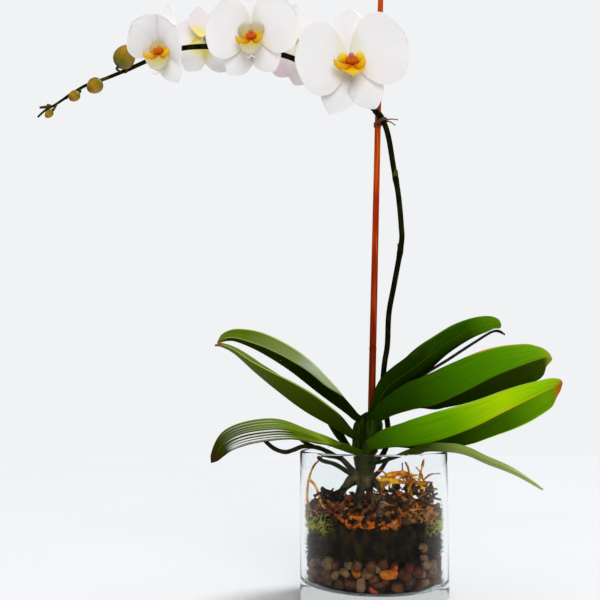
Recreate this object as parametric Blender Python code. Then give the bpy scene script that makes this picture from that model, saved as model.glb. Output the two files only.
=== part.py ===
"""Potted moth orchid: a white Phalaenopsis in a clear glass cylinder vase.

The vase holds three layers, pebbles, dark moss and bark. The plant's roots stand in the bark, its
leaves fan out to the left and the right, and one flower spike is tied to a cane and arches over.
Lengths are in millimetres and become metres when a mesh is made. The origin is at the middle of
the vase's underside, +X runs along the fan of leaves and +Z is up.
"""
import math
import random

import bmesh
import bpy
from mathutils import Euler, Matrix, Vector

MM = 0.001
GAP = 0.3
SHARP_ANGLE = 38.0

# Vase: a common 15 cm florist cylinder.
VASE_RADIUS = 76.0
VASE_HEIGHT = 150.0
VASE_WALL = 4.0
VASE_BASE = 18.0
VASE_FOOT_BEVEL = 1.5
VASE_INNER_ROUND = 6.0
VASE_SIDES = 36

# Filling: the layers share their boundaries, which wave a little round the vase.
FILL_RADIUS = VASE_RADIUS - VASE_WALL - 0.5
PEBBLE_TOP = 52.0
MOSS_TOP = 83.0
BARK_TOP = 94.0
PEBBLE_CORE_RADIUS = 67.0
PEBBLE_SIZES = (7.8, 10.4)
MOSS_RADII = (68.6, 71.2)
MOSS_ROWS = 5
BARK_CORE_RADII = (65.5, 69.5)
BARK_RINGS = ((64.0, 18, 0.0), (64.0, 9, 4.5), (50.0, 12, 0.0), (34.0, 7, 0.0))
BARK_WALL_RING = 60.0
FILL_STEPS = 30

# Plant: the stem, the spike and the cane.
STEM_FOOT = 128.0
STEM_CENTRE = -8.0
SPIKE_RADIUS = 3.0
SPIKE_TIP_RADIUS = 1.0
CANE_FOOT = Vector((-4.6, 17.5, VASE_BASE + 3.0))
CANE_TOP = Vector((15.3, 13.0, 690.0))
CANE_FOOT_RADIUS = 4.3
CANE_TOP_RADIUS = 3.0
TIE_HEIGHT = 506.0

# Each leaf: its midrib, half width, and the directions of its two halves at base, middle and tip.
# A direction is an angle round the midrib: 0 points away from the viewer, 90 up, 180 to the viewer.
LEAVES = {
    "leaf_left_upper": (((-7, -2, 177), (-19, -6, 182), (-29, -9, 190), (-55, -15, 209),
                         (-86, -23, 233), (-115, -28, 251), (-137, -29, 261), (-149, -29, 263),
                         (-160, -28, 260)),
                        23.0, (75, 48, 38), (100, 160, 174), "slender"),
    "leaf_left_middle": (((-12, -6, 161), (-23, -14, 164), (-41, -28, 175), (-71, -45, 192),
                          (-98, -56, 212), (-120, -60, 230), (-139, -59, 247), (-152, -58, 254),
                          (-159, -57, 255)),
                         21.0, (70, 58, 40), (125, 135, 165), "slender"),
    "leaf_left_lower": (((-12, -8, 145), (-25, -18, 149), (-41, -30, 155), (-66, -46, 165),
                         (-90, -58, 172), (-112, -66, 172), (-133, -72, 168), (-147, -76, 160),
                         (-159, -78, 143)),
                        23.0, (60, 28, 30), (120, 195, 212), "slender"),
    "leaf_left_back": (((-14, 3, 146), (-22, 7, 150), (-31, 14, 157), (-40, 24, 170),
                        (-48, 32, 184), (-54, 38, 195)),
                       8.0, (60, 60, 60), (150, 150, 150), "slender"),
    "leaf_right_upper": (((-3, 3, 180), (2, 3, 191), (14, 3, 214), (29, 4, 227), (44, 6, 237),
                          (61, 8, 250), (86, 11, 268), (111, 12, 280), (131, 11, 284),
                          (139, 10, 280)),
                         26.0, (-88, -28, -14), (95, 150, 165), "broad"),
    "leaf_right_middle": (((-5, -2, 175), (7, -6, 181), (21, -10, 188), (42, -15, 194),
                           (63, -18, 199), (92, -21, 212), (122, -22, 227), (151, -21, 238),
                           (174, -19, 245), (183, -18, 244)),
                          31.0, (90, -15, -78), (118, 88, 52), "broad"),
    "leaf_right_lower": (((-8, -5, 151), (4, -16, 153), (17, -28, 156), (38, -38, 158),
                          (64, -46, 165), (92, -50, 176), (120, -50, 190), (148, -50, 204),
                          (170, -48, 214), (182, -46, 216)),
                         30.0, (20, -25, -80), (118, 86, 55), "broad"),
    "leaf_right_lowest": (((-8, -4, 135), (2, -14, 136), (14, -28, 141), (30, -42, 148),
                           (48, -52, 153), (64, -58, 153), (76, -61, 152), (89, -62, 148),
                           (102, -62, 142), (130, -61, 131), (157, -58, 116)),
                          11.0, (50, 40, 35), (145, 170, 175), "slender"),
    "leaf_right_back": (((-3, 6, 173), (8, 9, 181), (35, 16, 206.5), (54, 21, 227), (86, 28, 247),
                         (116, 33, 266), (139, 36, 279), (151, 37, 275)),
                        9.0, (30, -8, -8), (150, 172, 172), "slender"),
}
LEAF_OUTLINES = {
    "slender": ((0.0, 0.26), (0.12, 0.36), (0.27, 0.72), (0.45, 0.97), (0.62, 1.0), (0.78, 0.88),
                (0.9, 0.62), (0.97, 0.34), (1.0, 0.12)),
    "broad": ((0.0, 0.28), (0.12, 0.58), (0.27, 0.90), (0.45, 1.0), (0.62, 0.98), (0.78, 0.87),
              (0.9, 0.64), (0.97, 0.36), (1.0, 0.14)),
}
LEAF_RIB_THICKNESS = 3.0
LEAF_EDGE_THICKNESS = 1.2

# The spike's route from the stem to its tip, and where its pedicels and bracts leave it.
SPIKE_PATH = ((-4, 2, 134), (6, 7, 139), (15, 13, 152), (18, 17, 172), (14, 18.5, 203), (13, 18, 220),
              (15, 16, 243), (18, 15, 262), (20, 15, 296), (26, 14, 328), (34, 13, 372),
              (34, 12, 391), (31, 11, 426), (26, 10, 456), (21, 8, 487), (16, 7, 504),
              (9, 6, 515), (-10, 5, 533), (-38, 5, 552), (-65, 4, 567), (-82, 3, 575),
              (-101, 2, 581), (-119, 1, 585), (-142, 0, 588), (-169, 0, 588), (-203, 0, 586),
              (-229, 0, 578), (-254, 0, 566), (-286, 0, 552), (-308, 0, 544), (-323, 0, 535),
              (-340, 0, 523), (-353, 0, 515), (-360, 0, 508))
SPIKE_BRACTS = ((0.30, 60), (0.40, 200), (0.49, 20))

# Each bloom: hub, turn (yaw from facing the viewer, pitch down, roll), span across the petals,
# how far the tepals close up, and the point of the spike that its pedicel leaves.
BLOOMS = {
    "bloom_1": ((-229, -17, 579), (-8, -6, 4), 78.0, 44.0, (-206, 0, 586)),
    "bloom_2": ((-184, 22, 603), (200, -4, -8), 84.0, 38.0, (-176, 0, 588)),
    "bloom_3": ((-131, -24, 587), (-6, 10, 3), 100.0, 6.0, (-112, 1, 584)),
    "bloom_4": ((-77, 27, 599), (198, 0, -22), 104.0, 28.0, (-80, 3, 574)),
    "bloom_5": ((-24, -32, 556), (4, 8, 5), 118.0, 4.0, (-13, 5, 535)),
}
SEPAL_ANGLES = (90, 235, 305)
PETAL_ANGLES = (18, 162)
PETAL_OUTLINE = ((0.0, 0.16), (0.16, 0.68), (0.38, 1.0), (0.66, 1.0), (0.88, 0.70), (1.0, 0.20))
SEPAL_OUTLINE = ((0.0, 0.30), (0.20, 0.70), (0.50, 1.0), (0.80, 0.76), (1.0, 0.16))
SEPAL_CUP_SHARE = 0.4
SEPAL_LENGTH, SEPAL_HALF_WIDTH = 51.0, 16.5
PETAL_LENGTH, PETAL_HALF_WIDTH = 56.0, 33.0
# A lip's size against its bloom, how far out on the column it hangs and the column's depth there.
OPEN_LIP = (1.3, 11.0, 2.2)
CUPPED_LIP = (1.0, 15.0, 1.97)
CUPPED = 20.0
TEPAL_THICKNESS = 1.0
SEPAL_DROP = 1.8
COLUMN_RADIUS = 3.4
COLUMN_TIP_RADIUS = 2.6
HUB_DEPTH = 4.6
REFERENCE_SPAN = 110.0

# Each bud: centre, axis towards its tip, half length and radius, and where its stalk starts.
BUDS = {
    "bud_1": ((-265, -12, 572), (0.35, -0.1, 0.9), 13.0, 10.0, (-269, 0, 560)),
    "bud_2": ((-298, -8, 540), (-0.6, -0.3, -0.7), 9.0, 8.2, (-284, 0, 553)),
    "bud_3": ((-319, -7, 530), (-0.5, -0.4, -0.7), 7.0, 6.0, (-316, 0, 540)),
    "bud_4": ((-348, -3, 509), (-0.6, -0.2, -0.8), 5.2, 4.0, (-340, 0, 523)),
}

# Roots below and beside the stem: route, radius at the stem and at the far end.
ROOT_FACETS = (5, 6)
DRY_ROOT_FACETS = (6, 5)
ROOTS = (
    (((-14, -5, 121), (-22, -8, 122), (-30, -12, 113), (-38, -18, 103), (-46, -25, 93)), 4.2, 3.0),
    (((-12, -6, 120), (-14, -10, 110), (-17, -16, 99), (-18, -24, 91)), 5.0, 3.6),
    (((-6, -6, 120), (2, -9, 117), (9, -14, 108), (17, -22, 97), (23, -28, 90)), 4.4, 3.0),
    (((-6, -7, 118), (-4, -12, 111), (-3, -17, 102), (-2, -22, 92)), 1.7, 1.4),
    (((-6, 2, 119), (5, 8, 112), (15, 18, 102), (22, 27, 92)), 3.8, 3.0),
    (((-12, 1, 119), (-26, 9, 112), (-38, 20, 100), (-44, 28, 92)), 3.6, 2.6),
)
AERIAL_ROOTS = (
    (((-14, -4, 122), (-24, -9, 131), (-35, -15, 142), (-51, -25, 151.5), (-61, -31, 155),
      (-73, -38, 156), (-82, -42, 153), (-91, -45, 151), (-103, -48, 154), (-115, -50, 158)), 2.7, 1.9),
    (((-61, -31, 155), (-68, -31, 158), (-77, -29, 164), (-86, -27, 171)), 2.1, 1.6),
    (((-14, -5, 120), (-23, -10, 125), (-40, -22, 136), (-53, -32, 141), (-58, -35, 146)), 2.6, 1.8),
    (((-15, -1, 121), (-24, -4, 131), (-35, -8, 140), (-46, -12, 143), (-54, -14, 144.5)), 2.2, 1.5),
    (((-2, -6, 121), (6, -12, 129), (13, -16, 139), (21, -18, 143), (31, -20, 145),
      (43, -22, 148), (51, -24, 151)), 2.4, 1.0),
)
DRY_ROOTS_LEFT = (
    (((-66, -16, 94), (-68, -13, 104), (-66.5, -10, 121), (-62, -8, 133), (-56, -4, 139),
      (-51, 0, 145)), 1.3, 1.0),
    (((-67, -10, 119), (-65, -18, 121), (-59, -27, 114), (-55, -33, 102), (-51, -36, 93)), 1.3, 1.2),
)
DRY_ROOTS_RIGHT = (
    (((4, -24, 119), (14, -25, 121), (27, -25, 119), (40, -22, 118), (54, -19, 117)), 2.4, 1.8),
    (((10, -21, 124), (18, -23, 127), (30, -22, 127), (37, -21, 122), (42, -22, 118)), 2.2, 1.6),
    (((6, -27, 93), (7, -26, 108), (8, -24, 119), (11, -22, 128)), 1.5, 1.2),
    (((37, -21, 93), (36, -20, 108), (35, -20, 122), (34, -16, 132), (31, -14, 138)), 1.5, 1.1),
    (((44, -21, 117), (46, -16, 124), (50, -10, 134), (52, -8, 140)), 1.3, 1.0),
)


def clear_scene():
    """Empty the file, so the script gives the same objects wherever it runs."""
    for obj in list(bpy.data.objects):
        bpy.data.objects.remove(obj, do_unlink=True)


def finish(name, colour, roughness, alpha=1.0, transmission=0.0):
    """A plain material with the sub-part's colour."""
    material = bpy.data.materials.new(name)
    material.use_nodes = True
    shader = material.node_tree.nodes["Principled BSDF"]
    shader.inputs["Base Color"].default_value = (*colour, 1.0)
    shader.inputs["Roughness"].default_value = roughness
    shader.inputs["Metallic"].default_value = 0.0
    shader.inputs["Alpha"].default_value = alpha
    shader.inputs["Transmission Weight"].default_value = transmission
    return material


def make_object(name, points, faces, material=None):
    """An object from points in millimetres, with its faces turned outwards."""
    mesh = bpy.data.meshes.new(name)
    mesh.from_pydata([Vector(p) * MM for p in points], [], faces)
    work = bmesh.new()
    work.from_mesh(mesh)
    bmesh.ops.recalc_face_normals(work, faces=work.faces)
    work.to_mesh(mesh)
    work.free()
    if material:
        mesh.materials.append(material)
    obj = bpy.data.objects.new(name, mesh)
    bpy.context.scene.collection.objects.link(obj)
    return obj


def apply_modifiers(obj):
    """Turn the object's modifiers into its mesh."""
    graph = bpy.context.evaluated_depsgraph_get()
    shaped = bpy.data.meshes.new_from_object(obj.evaluated_get(graph))
    obj.modifiers.clear()
    obj.data = shaped


def boolean(obj, others, operation, solver="EXACT"):
    """One Boolean of the object with a collection of others, which are then removed."""
    tools = bpy.data.collections.new(obj.name + "_tools")
    bpy.context.scene.collection.children.link(tools)
    for other in others:
        bpy.context.scene.collection.objects.unlink(other)
        tools.objects.link(other)
    cut = obj.modifiers.new("join", "BOOLEAN")
    cut.operation = operation
    cut.operand_type = "COLLECTION"
    cut.collection = tools
    cut.solver = solver
    apply_modifiers(obj)
    for other in others:
        bpy.data.objects.remove(other, do_unlink=True)
    bpy.data.collections.remove(tools)
    return obj


def fuse(name, pieces, material, solver="EXACT"):
    """Join overlapping closed pieces in one named body."""
    body = pieces[0]
    if len(pieces) > 1:
        boolean(body, pieces[1:], "UNION", solver)
    body.name = name
    body.data.name = name
    body.data.materials.clear()
    body.data.materials.append(material)
    for face in body.data.polygons:
        face.use_smooth = True
    body.data.set_sharp_from_angle(angle=math.radians(SHARP_ANGLE))
    return body


def islands(work):
    """The groups of faces of a mesh that hang together."""
    left = set(work.faces)
    groups = []
    while left:
        group = {left.pop()}
        border = list(group)
        while border:
            face = border.pop()
            for edge in face.edges:
                for other in edge.link_faces:
                    if other in left:
                        left.discard(other)
                        group.add(other)
                        border.append(other)
        groups.append(group)
    return groups


def weld(obj, distance=0.001):
    """Merge the slivers that a Boolean leaves, and drop the scraps that it cuts loose."""
    work = bmesh.new()
    work.from_mesh(obj.data)
    bmesh.ops.remove_doubles(work, verts=work.verts, dist=distance * MM)
    bmesh.ops.dissolve_degenerate(work, edges=work.edges, dist=distance * MM)
    bmesh.ops.triangulate(work, faces=work.faces)
    groups = sorted(islands(work), key=len)
    scraps = [face for group in groups[:-1] for face in group]
    bmesh.ops.delete(work, geom=scraps, context="FACES")
    work.to_mesh(obj.data)
    work.free()
    return obj


def curve_point(points, place):
    """A point of the smooth curve through the given points, place running from 0 to their number - 1."""
    last = len(points) - 1
    index = min(int(place), last - 1)
    part = place - index
    before = points[max(index - 1, 0)]
    start = points[index]
    end = points[index + 1]
    after = points[min(index + 2, last)]
    return 0.5 * ((2 * start) + (end - before) * part
                  + (2 * before - 5 * start + 4 * end - after) * part ** 2
                  + (3 * start - before - 3 * end + after) * part ** 3)


def smooth_path(points, count):
    """Points set evenly along the smooth curve through the given points."""
    points = [Vector(p) for p in points]
    fine = 16 * (len(points) - 1)
    walk = [curve_point(points, i / 16) for i in range(fine + 1)]
    lengths = [0.0]
    for a, b in zip(walk, walk[1:]):
        lengths.append(lengths[-1] + (b - a).length)
    path = []
    at = 0
    for i in range(count):
        target = lengths[-1] * i / (count - 1)
        while at < fine - 1 and lengths[at + 1] < target:
            at += 1
        share = (target - lengths[at]) / (lengths[at + 1] - lengths[at])
        path.append(walk[at].lerp(walk[at + 1], min(max(share, 0.0), 1.0)))
    return path


def tangents(path):
    """Directions along a path."""
    ends = [path[0]] + path + [path[-1]]
    return [(b - a).normalized() for a, b in zip(ends, ends[2:])]


def loft(rings):
    """Points and faces of a closed body through rings of points alike in number."""
    sides = len(rings[0])
    points = [p for ring in rings for p in ring]
    faces = [list(range(sides)), list(range(len(points) - sides, len(points)))]
    for row in range(len(rings) - 1):
        for i in range(sides):
            a = row * sides + i
            b = row * sides + (i + 1) % sides
            faces.append((a, b, b + sides, a + sides))
    return points, faces


def tube(name, route, start_radius, end_radius, count, sides, grow=0.0):
    """A tapered round tube along a smooth route."""
    path = smooth_path(route, count)
    rings = []
    side = None
    for i, (centre, along) in enumerate(zip(path, tangents(path))):
        if side is None:
            side = along.orthogonal()
        side = (side - along * side.dot(along)).normalized()
        up = along.cross(side)
        radius = start_radius + (end_radius - start_radius) * i / (count - 1) + grow
        turns = [2 * math.pi * k / sides for k in range(sides)]
        rings.append([centre + radius * (math.cos(t) * side + math.sin(t) * up) for t in turns])
    return make_object(name, *loft(rings))


def lathe(name, profile, sides):
    """A turned body from (radius, height) points, open at both ends of the axis or closed on it."""
    rings = []
    for radius, height in profile:
        turns = [2 * math.pi * k / sides for k in range(sides)]
        rings.append([Vector((radius * math.cos(t), radius * math.sin(t), height)) for t in turns])
    return make_object(name, *loft(rings))


def egg(name, centre, axis, half_length, radius, sides, rings=5, tip=0.0):
    """A closed egg along an axis, its far end drawn out by the share tip."""
    turn = Vector((0, 0, 1)).rotation_difference(Vector(axis)).to_matrix()
    bands = []
    for i in range(rings):
        angle = math.pi * (0.10 + 0.80 * i / (rings - 1))
        height = -math.cos(angle)
        width = math.sin(angle) * (1.0 - tip * 0.35 * (height + 1))
        turns = [2 * math.pi * k / sides for k in range(sides)]
        bands.append([turn @ Vector((radius * width * math.cos(t), radius * width * math.sin(t),
                                     half_length * height)) + Vector(centre) for t in turns])
    return make_object(name, *loft(bands))


def slab(name, upper, lower):
    """A thin closed blade between two grids of points, split in the same triangles on both faces."""
    rows, cols = len(upper), len(upper[0])
    points = [p for row in upper for p in row] + [p for row in lower for p in row]
    under = rows * cols
    faces = []
    for r in range(rows - 1):
        for c in range(cols - 1):
            a = r * cols + c
            b, d, e = a + 1, a + cols, a + cols + 1
            faces += [(a, b, e), (a, e, d), (under + a, under + e, under + b),
                      (under + a, under + d, under + e)]
    rim = [c for c in range(cols)] + [r * cols + cols - 1 for r in range(1, rows)]
    rim += [(rows - 1) * cols + c for c in range(cols - 2, -1, -1)]
    rim += [r * cols for r in range(rows - 2, 0, -1)]
    for a, b in zip(rim, rim[1:] + rim[:1]):
        faces += [(b, a, under + a), (b, under + a, under + b)]
    return make_object(name, points, faces)


def blend_three(values, place):
    """A value that goes from base to middle to tip."""
    base, middle, tip = values
    if place < 0.4:
        share = place / 0.4
        share = share * share * (3 - 2 * share)
        return base + (middle - base) * share
    return middle + (tip - middle) * (place - 0.4) / 0.6


def make_leaf(name, spec, material):
    """A folded strap leaf along its midrib, its foot cut to the stem that it clasps."""
    route, half_width, far_angles, near_angles, shape = spec
    outline = LEAF_OUTLINES[shape]
    fine = smooth_path(route, 201)
    directions = tangents(fine)
    upper, lower = [], []
    for place, share_of_width in outline:
        index = round(place * 200)
        centre, along = fine[index], directions[index]
        level = Vector((-along.y, along.x, 0)).normalized()
        level *= 1 if level.y > 0 else -1
        rise = along.cross(level)
        rise *= 1 if rise.z > 0 else -1
        width = half_width * share_of_width
        far, near = (math.radians(blend_three(a, place)) for a in (far_angles, near_angles))
        top_row, low_row = [], []
        for share in (-1.0, -0.5, 0.0, 0.5, 1.0):
            angle = near if share < 0 else far
            out = math.cos(angle) * level + math.sin(angle) * rise
            middle = (far + near) / 2
            inside = math.cos(middle) * level + math.sin(middle) * rise
            if share == 0.0:
                normal = inside
            else:
                normal = (inside - out * inside.dot(out)).normalized()
            thick = LEAF_RIB_THICKNESS + (LEAF_EDGE_THICKNESS - LEAF_RIB_THICKNESS) * abs(share)
            thick *= 0.7 + 0.3 * min(1.0, width / half_width)
            spot = centre + out * (width * abs(share))
            top_row.append(spot + normal * thick / 2)
            low_row.append(spot - normal * thick / 2)
        upper.append(top_row)
        lower.append(low_row)
    leaf = slab(name, upper, lower)
    boolean(leaf, [stem_body("foot_cut", GAP)], "DIFFERENCE")
    return fuse(name, [weld(leaf)], material)


def stem_body(name, grow=0.0):
    """The short green stem, a stack of leaf sheaths, flattened from front to back."""
    sections = ((0.0, -8.0, 9.5, 8.0), (6.0, -8.0, 11.5, 9.0), (18.0, -9.0, 12.0, 9.5),
                (20.0, -8.5, 13.5, 10.0), (34.0, -7.5, 14.5, 10.5), (36.0, -6.5, 15.5, 10.5),
                (48.0, -5.0, 17.0, 9.5), (56.0, -4.0, 15.5, 8.0), (62.0, -4.0, 10.0, 5.0))
    sides = 12
    rings = []
    for i, (height, centre, half_x, half_y) in enumerate(sections):
        height += grow * (-1 if i == 0 else 1 if i == len(sections) - 1 else 0)
        turns = [2 * math.pi * k / sides for k in range(sides)]
        rings.append([Vector((centre + (half_x + grow) * math.cos(t),
                              (half_y + grow) * math.sin(t), STEM_FOOT + height)) for t in turns])
    return make_object(name, *loft(rings))


def make_vase(material):
    """A plain glass cylinder with a thick base and a rounded inner corner."""
    inner = VASE_RADIUS - VASE_WALL
    corner = [(inner - VASE_INNER_ROUND * (1 - math.sin(a)),
               VASE_BASE + VASE_INNER_ROUND * (1 - math.cos(a)))
              for a in (math.radians(d) for d in (90, 60, 30, 0))]
    lip = VASE_WALL / 2
    rim = [(VASE_RADIUS - lip * (1 - math.cos(a)), VASE_HEIGHT - lip * (1 - math.sin(a)))
           for a in (math.radians(d) for d in (0, 45, 90, 135, 180))]
    profile = [(VASE_RADIUS - VASE_FOOT_BEVEL, 0.0), (VASE_RADIUS, VASE_FOOT_BEVEL)]
    profile += rim + corner
    return fuse("glass_vase", [lathe("glass_vase", profile, VASE_SIDES)], material)


def pebble_line(angle):
    """Height of the boundary between pebbles and moss round the vase."""
    return PEBBLE_TOP + 3.0 * math.sin(angle + 0.5) + 2.0 * math.cos(3 * angle)


def moss_line(angle):
    """Height of the boundary between moss and bark round the vase."""
    return MOSS_TOP + 3.5 * math.cos(2 * angle) + 1.5 * math.sin(5 * angle + 1.0)


def bark_line(angle):
    """Height of the bark's edge round the vase."""
    return BARK_TOP + 2.0 * math.sin(angle - 0.6) + 1.5 * math.cos(4 * angle)


def drum(name, rows):
    """A closed body round the vase's axis, from rows of (radius, height) functions of the angle."""
    rings = []
    for radius, height in rows:
        turns = [2 * math.pi * k / FILL_STEPS for k in range(FILL_STEPS)]
        rings.append([Vector((radius(t) * math.cos(t), radius(t) * math.sin(t), height(t)))
                      for t in turns])
    points = [p for ring in rings for p in ring]
    faces = []
    for row in range(len(rings) - 1):
        for i in range(FILL_STEPS):
            a = row * FILL_STEPS + i
            b = row * FILL_STEPS + (i + 1) % FILL_STEPS
            faces += [(a, b, b + FILL_STEPS), (a, b + FILL_STEPS, a + FILL_STEPS)]
    for ring, first in ((rings[0], 0), (rings[-1], len(points) - FILL_STEPS)):
        centre = sum((p.z for p in ring)) / FILL_STEPS
        points.append(Vector((0, 0, centre)))
        hub = len(points) - 1
        faces += [(first + i, first + (i + 1) % FILL_STEPS, hub) for i in range(FILL_STEPS)]
    return make_object(name, points, faces)


def cane_hole(name):
    """A cutter for the plain hole in which the cane stands."""
    down = (CANE_FOOT - CANE_TOP).normalized()
    return tube(name, (CANE_FOOT + down * 30, CANE_TOP), CANE_FOOT_RADIUS, CANE_TOP_RADIUS, 2, 12, GAP)


def make_pebbles(material):
    """River pebbles in courses against the glass, sunk in a core of the same stones."""
    rng = random.Random(7)
    foot = VASE_BASE + GAP
    core = drum("pebble_core", ((lambda t: PEBBLE_CORE_RADIUS - 1.5, lambda t: foot),
                                (lambda t: PEBBLE_CORE_RADIUS, pebble_line)))
    stones = []
    courses = 3
    for course in range(courses):
        angle = rng.uniform(0, 0.3)
        end = angle + 2 * math.pi
        while angle < end - 0.12:
            wide = rng.uniform(*PEBBLE_SIZES)
            tall = rng.uniform(5.0, 6.2)
            deep = rng.uniform(4.8, 6.0)
            top = pebble_line(angle)
            lift = foot + tall + (top - foot - 2 * tall) * course / (courses - 1)
            lift += rng.uniform(-1.0, 1.0) if 0 < course < courses - 1 else 0.0
            out = FILL_RADIUS - deep - (1.3 if course == 0 else 0.3)
            spot = Vector((out * math.cos(angle), out * math.sin(angle), lift))
            turn = Matrix.Rotation(angle, 3, "Z") @ Matrix.Rotation(rng.uniform(-0.5, 0.5), 3, "X")
            if course in (0, courses - 1):
                turn = Matrix.Rotation(angle, 3, "Z")
            stones.append(pebble("pebble", spot, turn, (deep, wide, tall), rng))
            angle += (wide * 2.02) / out
    bed = fuse("pebble_bed", [core] + stones, material, "MANIFOLD")
    boolean(bed, [cane_hole("hole")], "DIFFERENCE", "MANIFOLD")
    return fuse("pebble_bed", [weld(bed)], material)


def pebble(name, spot, turn, size, rng):
    """One smooth stone of few faces."""
    sides = 5
    points = []
    for share in (-0.5, 0.5):
        width = math.sqrt(1 - share * share)
        start = rng.uniform(0, 1)
        for k in range(sides):
            t = start + 2 * math.pi * k / sides
            points.append(turn @ Vector((size[0] * width * math.cos(t), size[1] * width * math.sin(t),
                                         size[2] * share)) + spot)
    points += [turn @ Vector((0, 0, -size[2])) + spot, turn @ Vector((0, 0, size[2])) + spot]
    faces = []
    for k in range(sides):
        after = (k + 1) % sides
        faces += [(k, after, sides + after), (k, sides + after, sides + k), (k, after, 2 * sides),
                  (sides + k, sides + after, 2 * sides + 1)]
    return make_object(name, points, faces)


def rough_radius(rng, low, high):
    """A radius for each step of the angle, picked at random between two limits."""
    picks = [rng.uniform(low, high) for _ in range(FILL_STEPS)]
    return lambda t: picks[round(t * FILL_STEPS / (2 * math.pi)) % FILL_STEPS]


def make_moss(material):
    """A packed layer of dark moss, its side broken up in tufts and hollows."""
    rng = random.Random(5)
    rows = [(rough_radius(rng, *MOSS_RADII), lambda t: pebble_line(t) + GAP)]
    for row in range(1, MOSS_ROWS):
        share = row / MOSS_ROWS
        rows.append((rough_radius(rng, *MOSS_RADII),
                     lambda t, s=share: pebble_line(t) * (1 - s) + moss_line(t) * s))
    rows.append((lambda t: MOSS_RADII[0], moss_line))
    layer = drum("moss_layer", rows)
    boolean(layer, [cane_hole("hole")], "DIFFERENCE")
    return fuse("moss_layer", [weld(layer)], material)


def chip(name, spot, turn, size, rng):
    """One flat angular chunk of bark."""
    points = []
    for x in (-1, 1):
        for y in (-1, 1):
            for z in (-1, 1):
                points.append(turn @ Vector((x * size[0] * rng.uniform(0.7, 1.0),
                                             y * size[1] * rng.uniform(0.7, 1.0),
                                             z * size[2] * rng.uniform(0.7, 1.0))) + spot)
    faces = ((0, 1, 3, 2), (4, 6, 7, 5), (0, 4, 5, 1), (2, 3, 7, 6), (0, 2, 6, 4), (1, 5, 7, 3))
    split = [tri for a, b, c, d in faces for tri in ((a, b, c), (a, c, d))]
    return make_object(name, points, split)


def root_tubes(roots, rings, sides, grow=0.0):
    """A tube for each root. Grown a little wider, they cut the holes in which the roots stand."""
    return [tube("root", route, start, end, rings, sides, grow) for route, start, end in roots]


def make_bark(material):
    """Chunks of bark heaped on a core, with holes for the roots and the cane."""
    rng = random.Random(11)

    floor = max(moss_line(2 * math.pi * k / FILL_STEPS) for k in range(FILL_STEPS))

    def under(t):
        return max(moss_line(t + d) for d in (-0.1, 0.0, 0.1)) + GAP + 0.6

    core = drum("bark_core", ((lambda t: BARK_CORE_RADII[0], under),
                              (rough_radius(rng, *BARK_CORE_RADII), lambda t: (floor + bark_line(t)) / 2),
                              (rough_radius(rng, *BARK_CORE_RADII), lambda t: bark_line(t) - 2.0),
                              (lambda t: 48.0, lambda t: bark_line(t) + 0.5)))
    chips = []
    for ring_radius, count, sink in BARK_RINGS:
        for k in range(count):
            angle = 2 * math.pi * (k + rng.uniform(-0.3, 0.3)) / count
            size = (rng.uniform(4.5, 8.5), rng.uniform(3.5, 6.0), rng.uniform(2.0, 3.2))
            radius = ring_radius + rng.uniform(-3, 3)
            if ring_radius > BARK_WALL_RING:
                radius = FILL_RADIUS - 1.2 - 0.8 * size[0]
            lift = bark_line(angle) + rng.uniform(-1.0, 3.0) - sink
            spot = Vector((radius * math.cos(angle), radius * math.sin(angle), lift))
            turn = Euler((rng.uniform(-0.6, 0.6), rng.uniform(-0.6, 0.6), rng.uniform(0, math.pi)))
            chips.append(chip("chip", spot, turn.to_matrix(), size, rng))
    heap = fuse("bark_mix", [core] + chips, material, "MANIFOLD")
    cuts = root_tubes(ROOTS, *ROOT_FACETS, GAP)
    cuts += root_tubes(DRY_ROOTS_LEFT + DRY_ROOTS_RIGHT, *DRY_ROOT_FACETS, GAP)
    boolean(heap, cuts + [cane_hole("hole")], "DIFFERENCE", "MANIFOLD")
    inside = drum("inside", ((lambda t: FILL_RADIUS - 0.1, lambda t: moss_line(t) + GAP),
                             (lambda t: FILL_RADIUS - 0.1, lambda t: VASE_HEIGHT)))
    boolean(heap, [inside], "INTERSECT", "MANIFOLD")
    return fuse("bark_mix", [weld(heap)], material)


def make_roots(material):
    """Thick roots from the foot of the stem into the bark, and aerial roots over the rim."""
    crown = lathe("crown", ((5.0, 108.0), (9.5, 114.0), (11.0, 121.0), (9.5, STEM_FOOT - GAP)), 10)
    crown.location = Vector((STEM_CENTRE, 0, 0)) * MM
    bpy.context.view_layer.update()
    crown.data.transform(crown.matrix_world)
    crown.location = (0, 0, 0)
    tubes = root_tubes(ROOTS, *ROOT_FACETS)
    tubes += [tube("aerial", route, start, end, len(route) + 1, 5)
              for route, start, end in AERIAL_ROOTS]
    roots = fuse("plant_roots", [crown] + tubes, material, "MANIFOLD")
    boolean(roots, [stem_body("stem_cut", GAP)], "DIFFERENCE", "MANIFOLD")
    return fuse("plant_roots", [weld(roots)], material)


def make_dry_roots(name, strands, material):
    """Old dried roots, brittle and orange, standing in the bark."""
    tubes = root_tubes(strands, *DRY_ROOT_FACETS)
    return fuse(name, [weld(fuse(name, tubes, material, "MANIFOLD"))], material)


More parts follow.
